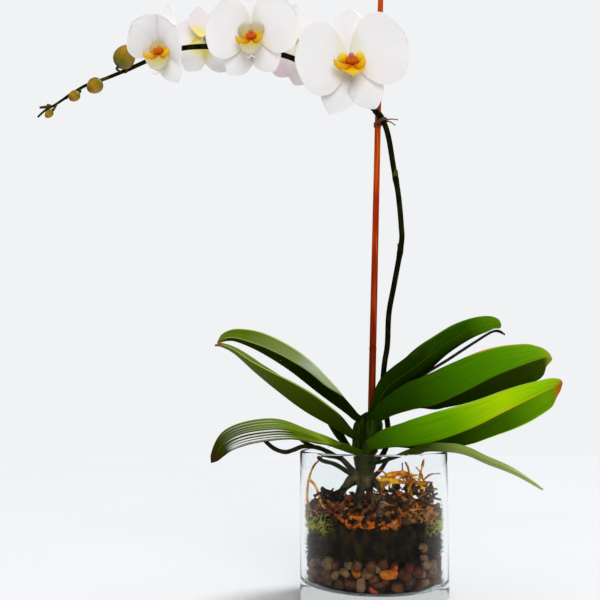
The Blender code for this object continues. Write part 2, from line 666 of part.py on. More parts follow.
def make_cane(material):
    """The bamboo cane, slightly tapered, with two node rings."""
    length = (CANE_TOP - CANE_FOOT).length
    nodes = [0.355 * length, 0.72 * length]
    stops = [0.0, length]
    for spot in nodes:
        stops += [spot - 3.0, spot - 0.8, spot + 0.8, spot + 3.0]
    stops.sort()
    turn = Vector((0, 0, 1)).rotation_difference(CANE_TOP - CANE_FOOT).to_matrix()
    rings = []
    for stop in stops:
        radius = CANE_FOOT_RADIUS + (CANE_TOP_RADIUS - CANE_FOOT_RADIUS) * stop / length
        radius -= 0.35
        if any(abs(stop - spot) < 1.0 for spot in nodes):
            radius += 0.35
        turns = [2 * math.pi * k / 12 for k in range(12)]
        rings.append([CANE_FOOT + turn @ Vector((radius * math.cos(t), radius * math.sin(t), stop))
                      for t in turns])
    return fuse("cane_stake", [make_object("cane_stake", *loft(rings))], material)


def cane_centre(height):
    """The middle of the cane at a height."""
    return CANE_FOOT.lerp(CANE_TOP, (height - CANE_FOOT.z) / (CANE_TOP.z - CANE_FOOT.z))


def spike_radius(place):
    """The spike's radius from its foot, 0, to its tip, 1."""
    if place < 0.66:
        return SPIKE_RADIUS - 0.5 * place
    share = (place - 0.66) / 0.34
    return 2.67 + (SPIKE_TIP_RADIUS - 2.67) * share


def bloom_turn(angles):
    """The rotation of a bloom from its yaw, pitch and roll in degrees."""
    yaw, pitch, roll = (math.radians(a) for a in angles)
    return (Matrix.Rotation(yaw, 3, "Z") @ Matrix.Rotation(math.pi / 2 + pitch, 3, "X")
            @ Matrix.Rotation(roll, 3, "Z"))


def make_spike(material):
    """The flower spike with its bracts and the stalks of blooms and buds."""
    count = 38
    path = smooth_path(SPIKE_PATH, count)
    along = tangents(path)
    rings = []
    side = Vector((0, 1, 0))
    for i in range(count):
        side = (side - along[i] * side.dot(along[i])).normalized()
        up = along[i].cross(side)
        radius = spike_radius(i / (count - 1))
        turns = [2 * math.pi * k / 6 for k in range(6)]
        rings.append([path[i] + radius * (math.cos(t) * side + math.sin(t) * up) for t in turns])
    pieces = [make_object("spike", *loft(rings))]
    for hub, angles, span, _, start in BLOOMS.values():
        facing = bloom_turn(angles) @ Vector((0, 0, 1))
        scale = span / REFERENCE_SPAN
        end = Vector(hub) - facing * (HUB_DEPTH * scale + GAP)
        bend = end - facing * 9 * scale
        route = (start, Vector(start).lerp(bend, 0.6), bend, end)
        pieces.append(tube("pedicel", route, 1.7, 1.9, 5, 6))
    for centre, axis, half, _, start in BUDS.values():
        axis = Vector(axis).normalized()
        end = Vector(centre) - axis * (half * math.cos(math.pi * 0.1) + 3 * GAP)
        bend = end - axis * 3
        pieces.append(tube("stalk", (start, bend, end), 1.2, 1.2, 3, 5))
    for place, turn in SPIKE_BRACTS:
        index = round(place * (count - 1))
        out = Matrix.Rotation(math.radians(turn), 3, along[index]) @ Vector((0, 1, 0))
        out = (out - along[index] * out.dot(along[index])).normalized()
        foot = path[index]
        pieces.append(tube("bract", (foot - along[index] * 2, foot + out * 2.6 + along[index] * 4,
                                     foot + out * 3.4 + along[index] * 9), 2.0, 0.6, 3, 5))
    for tip in ((-350, -2, 521), (-357, -4, 517)):
        pieces.append(tube("tip", ((-345, 0, 520), tip), 1.0, 1.3, 2, 6))
    spike = fuse("flower_spike", pieces, material, "MANIFOLD")
    boolean(spike, [stem_body("stem_cut", GAP)], "DIFFERENCE", "MANIFOLD")
    return fuse("flower_spike", [weld(spike)], material)


def make_tie(material):
    """A twist of raffia round the cane and the spike, with its two ends."""
    spike_at = min(smooth_path(SPIKE_PATH, 400), key=lambda p: abs(p.z - TIE_HEIGHT))
    cane_at = cane_centre(TIE_HEIGHT)
    reach = CANE_TOP_RADIUS + 2.5
    between = (cane_at - spike_at).xy.to_3d().normalized()
    across = Vector((-between.y, between.x, 0))
    loop = []
    for k in range(12):
        t = 2 * math.pi * k / 12
        centre = cane_at if math.cos(t) > 0 else spike_at
        lean = Vector((0, 0, -2.0 * math.cos(t)))
        loop.append(centre + reach * (math.cos(t) * between + math.sin(t) * across) + lean)
    rings = []
    for i, spot in enumerate(loop):
        along = (loop[(i + 1) % 12] - loop[i - 1]).normalized()
        out = along.cross(Vector((0, 0, 1))).normalized()
        up = out.cross(along)
        turns = [2 * math.pi * k / 5 for k in range(5)]
        rings.append([spot + 1.0 * (math.cos(t) * out + math.sin(t) * up) for t in turns])
    points = [p for ring in rings for p in ring]
    faces = []
    for row in range(12):
        for i in range(5):
            a, b = row * 5 + i, row * 5 + (i + 1) % 5
            c, d = (row + 1) % 12 * 5 + (i + 1) % 5, (row + 1) % 12 * 5 + i
            faces.append((a, b, c, d))
    ring = make_object("ring", points, faces)
    knot = spike_at + across * -reach
    knot = knot if knot.x > spike_at.x else spike_at + across * reach
    ends = []
    for far in (Vector((12, -3, 1.5)), Vector((10, -2, -5))):
        route = (knot + Vector((-0.3, 0, 0)), knot + Vector((5, -2, 1.5)), knot + far)
        ends.append(tube("end", route, 1.0, 0.7, 3, 5))
    return fuse("spike_tie", [weld(fuse("spike_tie", [ring] + ends, material))], material)


def make_tepal(name, angle, size, outline, shares, lift, cup, ripple, phase):
    """One sepal or petal in its bloom's frame, fanned out at an angle round the hub."""
    length, half_width = size
    turn, rise = math.radians(angle), math.radians(cup)
    bend = -0.07 if lift < 0 else 0.03
    along = Vector((math.cos(rise) * math.cos(turn), math.cos(rise) * math.sin(turn), math.sin(rise)))
    across = Vector((-math.sin(turn), math.cos(turn), 0))
    face = along.cross(across)
    upper, lower = [], []
    for place, width in outline:
        top_row, low_row = [], []
        for share in shares:
            reach = 3.0 + (length - 3.0) * (place - 0.10 * place * share ** 2)
            arch = 3.0 * math.sin(math.pi * min(place, 1.0)) - 3.5 * place ** 2
            arch += bend * half_width * width * share ** 2
            arch += ripple * place * share * math.sin(4.0 * place * math.pi / 2 + phase)
            spot = along * reach + across * (half_width * width * share) + face * (lift + arch)
            top_row.append(spot + face * TEPAL_THICKNESS / 2)
            low_row.append(spot - face * TEPAL_THICKNESS / 2)
        upper.append(top_row)
        lower.append(low_row)
    return slab(name, upper, lower)


def make_bloom(name, spec, tepal_finish, lip_finish):
    """A bloom: three sepals behind two broad petals and the column, and the lip as its own body."""
    hub, angles, span, cup, _ = spec
    scale = span / REFERENCE_SPAN
    pieces = [egg("hub", (0, 0, 0), (0, 0, 1), HUB_DEPTH * scale / math.cos(math.pi * 0.1), 6.5 * scale, 8)]
    columns = (-1.0, 0.0, 1.0) if cup > CUPPED else (-1.0, -0.4, 0.4, 1.0)
    for i, angle in enumerate(SEPAL_ANGLES):
        size = (SEPAL_LENGTH * scale, SEPAL_HALF_WIDTH * scale)
        pieces.append(make_tepal("sepal", angle, size, SEPAL_OUTLINE, (-1.0, 0.0, 1.0),
                                 -SEPAL_DROP * scale, cup * SEPAL_CUP_SHARE, 1.0, i))
    for i, angle in enumerate(PETAL_ANGLES):
        size = (PETAL_LENGTH * scale, PETAL_HALF_WIDTH * scale)
        pieces.append(make_tepal("petal", angle, size, PETAL_OUTLINE, columns,
                                 SEPAL_DROP * scale, cup, 1.2, 2 * i + 0.5))
    route = [Vector(p) * scale for p in ((0, 0, 1), (0, 0.6, 8), (0, -0.2, 13))]
    pieces.append(tube("column", route, COLUMN_RADIUS * scale, COLUMN_TIP_RADIUS * scale, 3, 6))
    tepals = fuse(name + "_petals", pieces, tepal_finish, "MANIFOLD")
    fuse(name + "_petals", [weld(tepals)], tepal_finish)
    size, reach, depth = CUPPED_LIP if cup > CUPPED else OPEN_LIP
    lip = make_lip(name + "_lip", scale * size, reach * scale, depth * scale, lip_finish)
    for body in (tepals, lip):
        body.rotation_euler = bloom_turn(angles).to_euler()
        body.location = Vector(hub) * MM
    return tepals, lip


def make_lip(name, scale, reach, depth, material):
    """The lip: an arrow-shaped middle lobe, two lobes that curl up beside the column, two tendrils."""
    callus = 2.9 * scale
    root = Vector((0, -(depth + GAP + callus), reach))
    pieces = [egg("callus", root, (0, -0.3, 1), 3.6 * scale, callus, 6, 4)]
    down = Vector((0, -0.80, 0.60))
    face = Vector((0, 0.60, 0.80))
    lobe = ((0.0, 2.4), (0.25, 4.4), (0.50, 8.4), (0.72, 5.4), (1.0, 1.4))
    upper, lower = [], []
    for place, width in lobe:
        middle = root + down * (18 * place * scale)
        rows = [middle + (Vector((width * s, 0, 0)) + face * (1.6 * abs(s) - 0.6)) * scale
                for s in (-1.0, 0.0, 1.0)]
        upper.append([p + face * 0.6 for p in rows])
        lower.append([p - face * 0.6 for p in rows])
    pieces.append(slab("middle_lobe", upper, lower))
    for side in (-1, 1):
        upper, lower = [], []
        for place, width, curl in ((0.0, 2.6, 0.0), (0.55, 4.8, 0.8), (1.0, 2.4, 3.0)):
            out = Vector((side * (1.0 + 11 * place - curl), -1.0 + 6.5 * place, 0.5 + 5 * place))
            spot = root + out * scale
            wide = Vector((0.15 * side, 0.45, -0.88)) * (width * scale)
            skin = Vector((side * -0.55, 0.75, 0.35)).normalized() * 0.55
            upper.append([spot + wide * s + skin for s in (-1.0, 0.0, 1.0)])
            lower.append([spot + wide * s - skin for s in (-1.0, 0.0, 1.0)])
        pieces.append(slab("side_lobe", upper, lower))
        tip = root + down * (17 * scale)
        curl = (tip, tip + Vector((side * 3, -3, 3)) * scale, tip + Vector((side * 6, -1, 6)) * scale)
        pieces.append(tube("tendril", curl, 0.9 * scale, 0.5, 2, 4))
    return fuse(name, [weld(fuse(name, pieces, material, "MANIFOLD"))], material)


def make_bud(name, spec, material):
    """A closed bud on its stalk."""
    centre, axis, half, radius, _ = spec
    bud = egg(name, centre, Vector(axis).normalized(), half, radius, 8, 6, 0.35)
    return fuse(name, [bud], material)


def build():
    """Model every piece and set the whole on one empty."""
    clear_scene()
    make_vase(finish("clear_glass", (0.92, 0.95, 0.95), 0.02, 0.35, 1.0))
    make_pebbles(finish("river_pebbles", (0.20, 0.12, 0.07), 0.45))
    make_moss(finish("dark_moss", (0.05, 0.06, 0.02), 0.95))
    make_bark(finish("orchid_bark", (0.30, 0.14, 0.06), 0.85))
    make_roots(finish("root_skin", (0.25, 0.22, 0.15), 0.75))
    dry = finish("dried_root", (0.75, 0.32, 0.05), 0.7)
    make_dry_roots("dry_roots_left", DRY_ROOTS_LEFT, dry)
    make_dry_roots("dry_roots_right", DRY_ROOTS_RIGHT, dry)
    green = finish("leaf_green", (0.07, 0.20, 0.02), 0.35)
    fuse("plant_stem", [stem_body("plant_stem")], green)
    for name, spec in LEAVES.items():
        make_leaf(name, spec, green)
    make_cane(finish("red_cane", (0.45, 0.07, 0.02), 0.4))
    make_spike(finish("spike_green", (0.05, 0.07, 0.02), 0.45))
    make_tie(finish("raffia", (0.16, 0.07, 0.03), 0.8))
    white = finish("petal_white", (0.92, 0.90, 0.90), 0.5)
    yellow = finish("lip_yellow", (0.90, 0.50, 0.05), 0.45)
    for name, spec in BLOOMS.items():
        make_bloom(name, spec, white, yellow)
    bud = finish("bud_olive", (0.35, 0.25, 0.05), 0.5)
    for name, spec in BUDS.items():
        make_bud(name, spec, bud)
    plant = bpy.data.objects.new("potted_orchid", None)
    bpy.context.scene.collection.objects.link(plant)
    for obj in bpy.context.scene.objects:
        if obj.type == "MESH":
            obj.parent = plant


build()
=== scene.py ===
"""Looks of the potted moth orchid: leaves, spike, blooms, roots and filling over the CAD frame.

Lengths are in millimetres until a mesh is made. Every shape follows the same paths as the CAD part,
with more rows, real edges and procedural materials. The filling is scattered with Geometry Nodes.
"""

import math
import random

import bmesh
import bpy
from mathutils import Euler, Matrix, Vector


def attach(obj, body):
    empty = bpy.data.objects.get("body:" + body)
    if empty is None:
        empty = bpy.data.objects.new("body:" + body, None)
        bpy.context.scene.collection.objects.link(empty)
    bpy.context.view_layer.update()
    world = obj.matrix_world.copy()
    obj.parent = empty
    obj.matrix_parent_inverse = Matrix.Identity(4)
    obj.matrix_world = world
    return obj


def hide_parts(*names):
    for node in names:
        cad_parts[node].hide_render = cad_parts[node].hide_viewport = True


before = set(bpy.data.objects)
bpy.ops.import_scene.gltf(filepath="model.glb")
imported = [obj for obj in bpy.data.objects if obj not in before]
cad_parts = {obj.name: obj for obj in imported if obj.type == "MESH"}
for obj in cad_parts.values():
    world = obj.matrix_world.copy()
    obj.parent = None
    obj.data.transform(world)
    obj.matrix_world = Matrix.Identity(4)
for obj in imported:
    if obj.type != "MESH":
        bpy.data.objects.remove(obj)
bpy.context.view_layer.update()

MM = 0.001
GAP = 0.3

# How strongly the pale surroundings light the plant and show in its gloss; the view of them is 1.
SKY_LIGHT = 0.5
SKY_SHEEN = 0.18

# Vase and filling, as in the CAD part.
VASE_RADIUS = 76.0
VASE_HEIGHT = 150.0
VASE_WALL = 4.0
VASE_BASE = 18.0
VASE_FOOT_BEVEL = 1.5
VASE_INNER_ROUND = 6.0
VASE_SIDES = 144
FILL_RADIUS = VASE_RADIUS - VASE_WALL - 0.5
FILL_STEPS = 72
# The filling's least gap to the glass base, half the depth of a front stone and the most copies
# scattered over a square metre before they are thinned out.
FLOOR_GAP = 0.2
STONE_DEPTH = 4.6
SCATTER_DENSITY = 400000.0

# Stem, cane and tie.
STEM_FOOT = 128.0
STEM_HEIGHT = 62.0
# Sections of the stem: height above its foot, middle from left to right, half width and half depth.
STEM_SECTIONS = ((0.0, -8.0, 9.5, 8.0), (6.0, -8.0, 11.5, 9.0), (18.0, -9.0, 12.0, 9.5),
                 (20.0, -8.5, 13.5, 10.0), (34.0, -7.5, 14.5, 10.5), (36.0, -6.5, 15.5, 10.5),
                 (46.0, -5.0, 16.0, 9.5), (54.0, -4.0, 13.0, 8.0), (59.0, -4.0, 8.0, 5.0),
                 (STEM_HEIGHT, -4.0, 2.5, 2.0))
CANE_FOOT = Vector((-4.6, 17.5, 21.0))
CANE_TOP = Vector((15.3, 13.0, 690.0))
CANE_FOOT_RADIUS = 4.3
CANE_TOP_RADIUS = 3.0
CANE_NODES = (0.355, 0.72)
TIE_HEIGHT = 506.0
TIE_TURNS = 3

# Each leaf: midrib, half width, directions of its far and near halves at base, middle and tip.
LEAVES = {
    "leaf_left_upper": (((-7, -2, 177), (-19, -6, 182), (-29, -9, 190), (-55, -15, 209),
                         (-86, -23, 233), (-115, -28, 251), (-137, -29, 261), (-149, -29, 263),
                         (-160, -28, 260)),
                        23.0, (80, 76, 62), (100, 162, 176), "slender"),
    "leaf_left_middle": (((-12, -6, 161), (-23, -14, 164), (-41, -28, 175), (-71, -45, 192),
                          (-98, -56, 212), (-120, -60, 230), (-139, -59, 247), (-152, -58, 254),
                          (-159, -57, 255)),
                         21.0, (70, 58, 40), (125, 135, 165), "tapered"),
    "leaf_left_lower": (((-12, -8, 145), (-25, -18, 149), (-41, -30, 155), (-66, -46, 165),
                         (-90, -58, 172), (-112, -66, 172), (-133, -72, 168), (-147, -76, 160),
                         (-159, -78, 143)),
                        23.0, (60, 28, 30), (120, 195, 212), "slender"),
    "leaf_left_back": (((-14, 3, 146), (-22, 7, 150), (-31, 14, 157), (-40, 24, 170),
                        (-48, 32, 184), (-54, 38, 195)),
                       8.0, (60, 60, 60), (150, 150, 150), "slender"),
    "leaf_right_upper": (((-3, 3, 180), (2, 3, 191), (14, 3, 214), (29, 4, 227), (44, 6, 237),
                          (61, 8, 250), (86, 11, 268), (111, 12, 280), (131, 11, 284),
                          (139, 10, 280)),
                         26.0, (-88, -42, -20), (95, 138, 160), "rising"),
    "leaf_right_middle": (((-5, -2, 175), (7, -6, 181), (21, -10, 188), (42, -15, 194),
                           (63, -18, 199), (92, -21, 212), (122, -22, 227), (151, -21, 238),
                           (174, -19, 245), (183, -18, 244)),
                          31.0, (90, -15, -78), (118, 88, 52), "broad"),
    "leaf_right_lower": (((-8, -5, 151), (4, -16, 153), (17, -28, 156), (38, -38, 158),
                          (64, -46, 165), (92, -50, 176), (120, -50, 190), (148, -50, 204),
                          (170, -48, 214), (182, -46, 216)),
                         30.0, (20, -25, -80), (112, 119, 153), "broad"),
    "leaf_right_lowest": (((-8, -4, 135), (2, -14, 136), (14, -28, 141), (30, -42, 148),
                           (48, -52, 153), (64, -58, 153), (76, -61, 152), (89, -62, 148),
                           (102, -62, 142), (130, -61, 131), (157, -58, 116)),
                          11.0, (50, 40, 35), (145, 170, 175), "slender"),
    "leaf_right_back": (((-3, 6, 173), (8, 9, 181), (35, 16, 206.5), (54, 21, 227), (86, 28, 247),
                         (116, 33, 266), (139, 36, 279), (151, 37, 275)),
                        9.0, (30, -8, -8), (150, 172, 172), "slender"),
}
LEAF_OUTLINES = {
    "tapered": ((0.0, 0.26), (0.12, 0.40), (0.27, 0.78), (0.45, 1.0), (0.60, 0.92), (0.75, 0.64),
                (0.88, 0.38), (0.97, 0.22), (1.0, 0.12)),
    "slender": ((0.0, 0.26), (0.12, 0.36), (0.27, 0.72), (0.45, 0.97), (0.62, 1.0), (0.78, 0.88),
                (0.9, 0.62), (0.97, 0.34), (1.0, 0.12)),
    "rising": ((0.0, 0.20), (0.12, 0.28), (0.27, 0.62), (0.45, 0.96), (0.62, 1.0), (0.78, 0.90),
               (0.9, 0.72), (0.96, 0.58), (1.0, 0.46)),
    "broad": ((0.0, 0.28), (0.12, 0.58), (0.27, 0.90), (0.45, 1.0), (0.62, 0.98), (0.78, 0.90),
              (0.9, 0.74), (0.96, 0.60), (1.0, 0.48)),
}
LEAF_RIB_THICKNESS = 3.0
LEAF_EDGE_THICKNESS = 1.2
LEAF_ROWS = 56
LEAF_COLUMNS = 28
# The tip's own rows and where they start, the fine path's steps, the soft fold and the long ridges.
TIP_ROWS = 12
TIP_START = 0.9
FINE_STEPS = 800
FOLD_SHARE = 0.16
RIDGE_COUNT = 9.0

SPIKE_PATH = ((-4, 2, 134), (6, 7, 139), (15, 13, 152), (18, 17, 172), (14, 18.5, 203), (13, 18, 220),
              (15, 16, 243), (18, 15, 262), (20, 15, 296), (26, 14, 328), (34, 13, 372),
              (34, 12, 391), (31, 11, 426), (26, 10, 456), (21, 8, 487), (16, 7, 504),
              (9, 6, 515), (-10, 5, 533), (-38, 5, 552), (-65, 4, 567), (-82, 3, 575),
              (-101, 2, 581), (-119, 1, 585), (-142, 0, 588), (-169, 0, 588), (-203, 0, 586),
              (-229, 0, 578), (-254, 0, 566), (-286, 0, 552), (-308, 0, 544), (-323, 0, 535),
              (-340, 0, 523), (-353, 0, 515), (-360, 0, 508))
SPIKE_RADIUS = 3.0
SPIKE_TIP_RADIUS = 1.0
# Where along the spike it starts to thin towards its tip.
SPIKE_SHOULDER = 0.74
SPIKE_SHOULDER_RADIUS = 2.93
# Foot and ends of the two small knobs at the spike's tip.
SPIKE_END = (-345, 0, 520)
SPIKE_TIP_KNOBS = ((-350, -2, 521), (-357, -4, 517))
# Where bracts clasp the spike, from its foot, 0, to its tip, 1, and the way each one faces.
SPIKE_BRACTS = ((0.30, 60), (0.40, 200), (0.49, 20), (0.86, 90), (0.91, 250), (0.95, 80))

# Each bloom: hub, turn (yaw, pitch, roll), span, how far its tepals close up, pedicel's start,
# and its petals and sepals as (angle, share of the usual length).
BLOOMS = {
    "bloom_1": ((-224, -17, 576), (-8, 16, 4), 78.0, 44.0, (-206, 0, 586),
                ((30, 0.98), (132, 1.0)), ((66, 1.2), (236, 0.6), (294, 1.1))),
    "bloom_2": ((-184, 22, 606), (200, -4, -8), 84.0, 38.0, (-176, 0, 588),
                ((20, 1.0), (160, 1.0)), ((90, 1.0), (235, 1.0), (305, 1.0))),
    "bloom_3": ((-126, -24, 587), (-6, 10, 3), 100.0, 6.0, (-112, 1, 584),
                ((18, 1.0), (162, 1.0)), ((90, 1.0), (232, 1.0), (300, 0.9))),
    "bloom_4": ((-66, 27, 603), (198, 0, -18), 104.0, 28.0, (-80, 3, 574),
                ((18, 1.0), (162, 1.0)), ((90, 1.0), (235, 1.0), (305, 1.0))),
    "bloom_5": ((-24, -32, 556), (4, 8, 5), 118.0, 4.0, (-13, 5, 535),
                ((14, 1.06), (178, 0.96)), ((84, 0.96), (246, 1.04), (297, 1.0))),
}
# Lips whose side lobes close over the column like a hood; the others stand open.
HOODED = ("bloom_1", "bloom_3")
PETAL_OUTLINE = ((0.0, 0.20), (0.14, 0.66), (0.36, 1.0), (0.62, 1.04), (0.85, 0.86), (1.0, 0.66))
SEPAL_OUTLINE = ((0.0, 0.34), (0.20, 0.74), (0.48, 1.0), (0.78, 0.84), (1.0, 0.44))
SEPAL_CUP_SHARE = 0.4
SEPAL_LENGTH, SEPAL_HALF_WIDTH = 52.0, 18.0
PETAL_LENGTH, PETAL_HALF_WIDTH = 56.0, 33.0
SEPAL_DROP = 1.8
# How wavy the tepals are, and their rows and columns.
SEPAL_RIPPLE, SEPAL_GRID = 1.2, (30, 16)
PETAL_RIPPLE, PETAL_GRID = 1.8, (36, 28)
# How far from the hub's middle a tepal starts, and over which last share its end is round.
TEPAL_FOOT = 3.0
TEPAL_ROUND = 0.3
HUB_DEPTH = 4.6
# The column in a bloom's own frame, its radius along the way and the cap at its end.
COLUMN_ROUTE = ((0.0, 0.0, -HUB_DEPTH), (0.0, 0.0, -2.0), (0.0, 0.2, 2.0), (0.0, 0.8, 6.0),
                (0.0, 0.6, 10.0), (0.0, -0.2, 13.0))
COLUMN_OUTLINE = ((0.0, 2.2), (0.2, 4.6), (0.42, 3.9), (0.7, 3.1), (0.88, 3.3), (1.0, 1.2))
CAP_ROUTE = ((0, 0.6, 11.0), (0, 0.2, 13.0), (0, -1.2, 15.0))
REFERENCE_SPAN = 110.0
SMALLEST_LIP = 0.92
# A lip's middle lobe as length and outline, then the outlines of its horns and side lobes.
HOODED_LOBE = (22.0, ((0.0, 4.0), (0.2, 8.0), (0.5, 11.0), (0.8, 8.0), (1.0, 3.0)))
OPEN_LOBE = (14.0, ((0.0, 4.0), (0.25, 8.5), (0.55, 9.8), (0.8, 6.4), (1.0, 1.5)))
HORN_OUTLINE = ((0.0, 2.0), (0.4, 2.9), (0.75, 2.3), (1.0, 0.5))
SPOON_OUTLINE = ((0, 0.35), (0.35, 0.85), (0.65, 1.0), (1, 0.6))
# Face marks of a bloom's parts, read by its paint.
TEPAL, COLUMN, COLUMN_TIP = 0.0, 1.0, 2.0
HOOD, YELLOW_LOBE, PALE_LOBE, HORN, CALLUS, TENDRIL = 0.0, 1.0, 2.0, 3.0, 4.0, 5.0

# Each bud: centre, axis towards its tip, half length and radius, and where its stalk starts.
BUDS = {
    "bud_1": ((-264, -12, 570), (0.55, -0.1, 0.8), 13.4, 12.6, (-271, 0, 559)),
    "bud_2": ((-297, -8, 539.5), (-0.6, -0.3, -0.7), 9.4, 9.0, (-284, 0, 553)),
    "bud_3": ((-319, -7, 528.5), (-0.5, -0.4, -0.7), 7.0, 6.2, (-316, 0, 540)),
    "bud_4": ((-347, -3, 510.5), (-0.6, -0.2, -0.8), 5.4, 4.4, (-340, 0, 523)),
}

# How much narrower a bud gets towards its tip.
BUD_TAPER = 0.1225

# Roots below and beside the stem: route, radius at the stem and at the far end.
ROOTS = (
    (((-14, -5, 121), (-22, -8, 122), (-30, -12, 113), (-38, -18, 103), (-46, -25, 93)), 4.2, 3.0),
    (((-12, -6, 120), (-14, -10, 110), (-17, -16, 99), (-18, -24, 91)), 5.0, 3.6),
    (((-6, -6, 120), (2, -9, 117), (9, -14, 108), (17, -22, 97), (23, -28, 90)), 4.4, 3.0),
    (((-6, -7, 118), (-4, -12, 111), (-3, -17, 102), (-2, -22, 92)), 1.7, 1.4),
    (((-6, 2, 119), (5, 8, 112), (15, 18, 102), (22, 27, 92)), 3.8, 3.0),
    (((-12, 1, 119), (-26, 9, 112), (-38, 20, 100), (-44, 28, 92)), 3.6, 2.6),
)
AERIAL_ROOTS = (
    (((-14, -4, 122), (-24, -9, 131), (-35, -15, 142), (-51, -25, 151.5), (-61, -31, 155),
      (-73, -38, 156), (-82, -42, 153), (-91, -45, 151), (-102, -48, 155), (-112, -50, 164)), 2.7, 1.9),
    (((-61, -31, 155), (-68, -31, 158), (-77, -29, 164), (-86, -27, 171)), 2.1, 1.6),
    (((-14, -5, 120), (-23, -10, 125), (-40, -22, 136), (-53, -32, 141), (-58, -35, 146)), 2.6, 1.8),
    (((-15, -1, 121), (-24, -4, 131), (-35, -8, 140), (-46, -12, 143), (-54, -14, 144.5)), 2.2, 1.5),
    (((-2, -6, 121), (6, -12, 129), (13, -16, 139), (21, -18, 143), (31, -20, 145),
      (43, -22, 148), (51, -24, 151)), 2.4, 1.0),
)
DRY_ROOTS_LEFT = (
    (((-66, -16, 94), (-68, -13, 104), (-66.5, -10, 121), (-62, -8, 133), (-56, -4, 139),
      (-51, 0, 145)), 1.3, 1.0),
    (((-67, -10, 119), (-65, -18, 121), (-59, -27, 114), (-55, -33, 102), (-51, -36, 93)), 1.3, 1.2),
)
DRY_ROOTS_RIGHT = (
    (((4, -24, 119), (14, -25, 121), (27, -25, 119), (40, -22, 118), (54, -19, 117)), 2.4, 1.8),
    (((10, -21, 124), (18, -23, 127), (30, -22, 127), (37, -21, 122), (42, -22, 118)), 2.2, 1.6),
    (((6, -27, 93), (7, -26, 108), (8, -24, 119), (11, -22, 128)), 1.5, 1.2),
    (((37, -21, 93), (36, -20, 108), (35, -20, 122), (34, -16, 132), (31, -14, 138)), 1.5, 1.1),
    (((44, -21, 117), (46, -16, 124), (50, -10, 134), (52, -8, 140)), 1.3, 1.0),
)

# Radius of the knob below the stem, from its foot to its top.
CROWN_OUTLINE = ((0.0, 4.6), (0.3, 9.3), (0.65, 10.6), (1.0, 9.3))

# Stones that show plainly at the front glass: sideways place, height, half width and height, tone.
FRONT_STONES = ((6, 38, 8.0, 4.8, 0.68), (2, 48, 5.2, 5.0, 0.52), (-9, 44, 6.2, 6.2, 0.30),
                (13, 45, 3.4, 4.2, 0.86), (-48, 44, 6.0, 7.0, 0.42), (-49, 34, 5.0, 6.5, 0.30),
                (41, 60, 4.2, 4.8, 0.60), (41, 51, 3.8, 4.0, 0.60), (-22, 45, 6.0, 6.0, 0.30),
                (24, 36, 6.4, 5.2, 0.18), (52, 37, 6.8, 4.6, 0.42), (36, 38, 6.0, 6.0, 0.77),
                (-3, 28, 6.6, 5.0, 0.06), (-28, 28, 6.2, 5.4, 0.24), (15, 26, 6.0, 5.0, 0.30))

# Heaps of curled crumbs: middle, reach either way, number, size and the range of their tones.
CRUMB_HEAPS = (((-44, -30, 105), (16, 7, 7), 20, 1.4, (0.02, 0.3)),
               ((30, -22, 105), (24, 13, 10), 60, 1.3, (0.1, 0.95)),
               ((-48, -42, 96), (16, 10, 4), 24, 1.0, (0.3, 0.9)),
               ((12, -48, 95), (26, 10, 4), 40, 1.0, (0.2, 0.9)),
               ((54, -22, 106), (5, 8, 8), 14, 1.2, (0.02, 0.3)),
               ((0, 30, 98), (50, 20, 5), 60, 1.0, (0.1, 0.9)),
               ((-6, -67, 83), (20, 2, 2.5), 16, 1.0, (0.82, 0.93)),
               ((42, -50, 92), (14, 8, 5), 34, 1.0, (0.6, 0.99)))

# The photo's viewpoint, fitted to the vase: place in metres, tilt in degrees, lens and shift.
CAMERA_SPOT = (-0.076, -0.765, 0.193)
CAMERA_TILT = 4.79
CAMERA_LENS = 43.68
CAMERA_SHIFT = 0.08


class Value:
    """A shader socket with arithmetic, so that patterns read as formulas."""

    def __init__(self, tree, socket):
        self.tree = tree
        self.socket = socket

    def maths(self, operation, *others):
        """The result of a Math node on this value and others."""
        node = self.tree.nodes.new("ShaderNodeMath")
        node.operation = operation
        for slot, item in zip(node.inputs, (self,) + others):
            plug(self.tree, slot, item)
        return Value(self.tree, node.outputs[0])

    def __add__(self, other):
        return self.maths("ADD", other)

    def __radd__(self, other):
        return self.maths("ADD", other)

    def __sub__(self, other):
        return self.maths("SUBTRACT", other)

    def __rsub__(self, other):
        return (self * -1.0) + other

    def __mul__(self, other):
        return self.maths("MULTIPLY", other)

    def __rmul__(self, other):
        return self.maths("MULTIPLY", other)

    def above(self, other):
        """1 where the value is greater than another, else 0."""
        return self.maths("GREATER_THAN", other)

    def absolute(self):
        """The value without its sign."""
        return self.maths("ABSOLUTE")

    def sine(self):
        """The sine of the value in radians."""
        return self.maths("SINE")


def plug(tree, slot, item):
    """Link a value to a node's input, or set it there."""
    if isinstance(item, Value):
        tree.links.new(item.socket, slot)
    else:
        slot.default_value = item


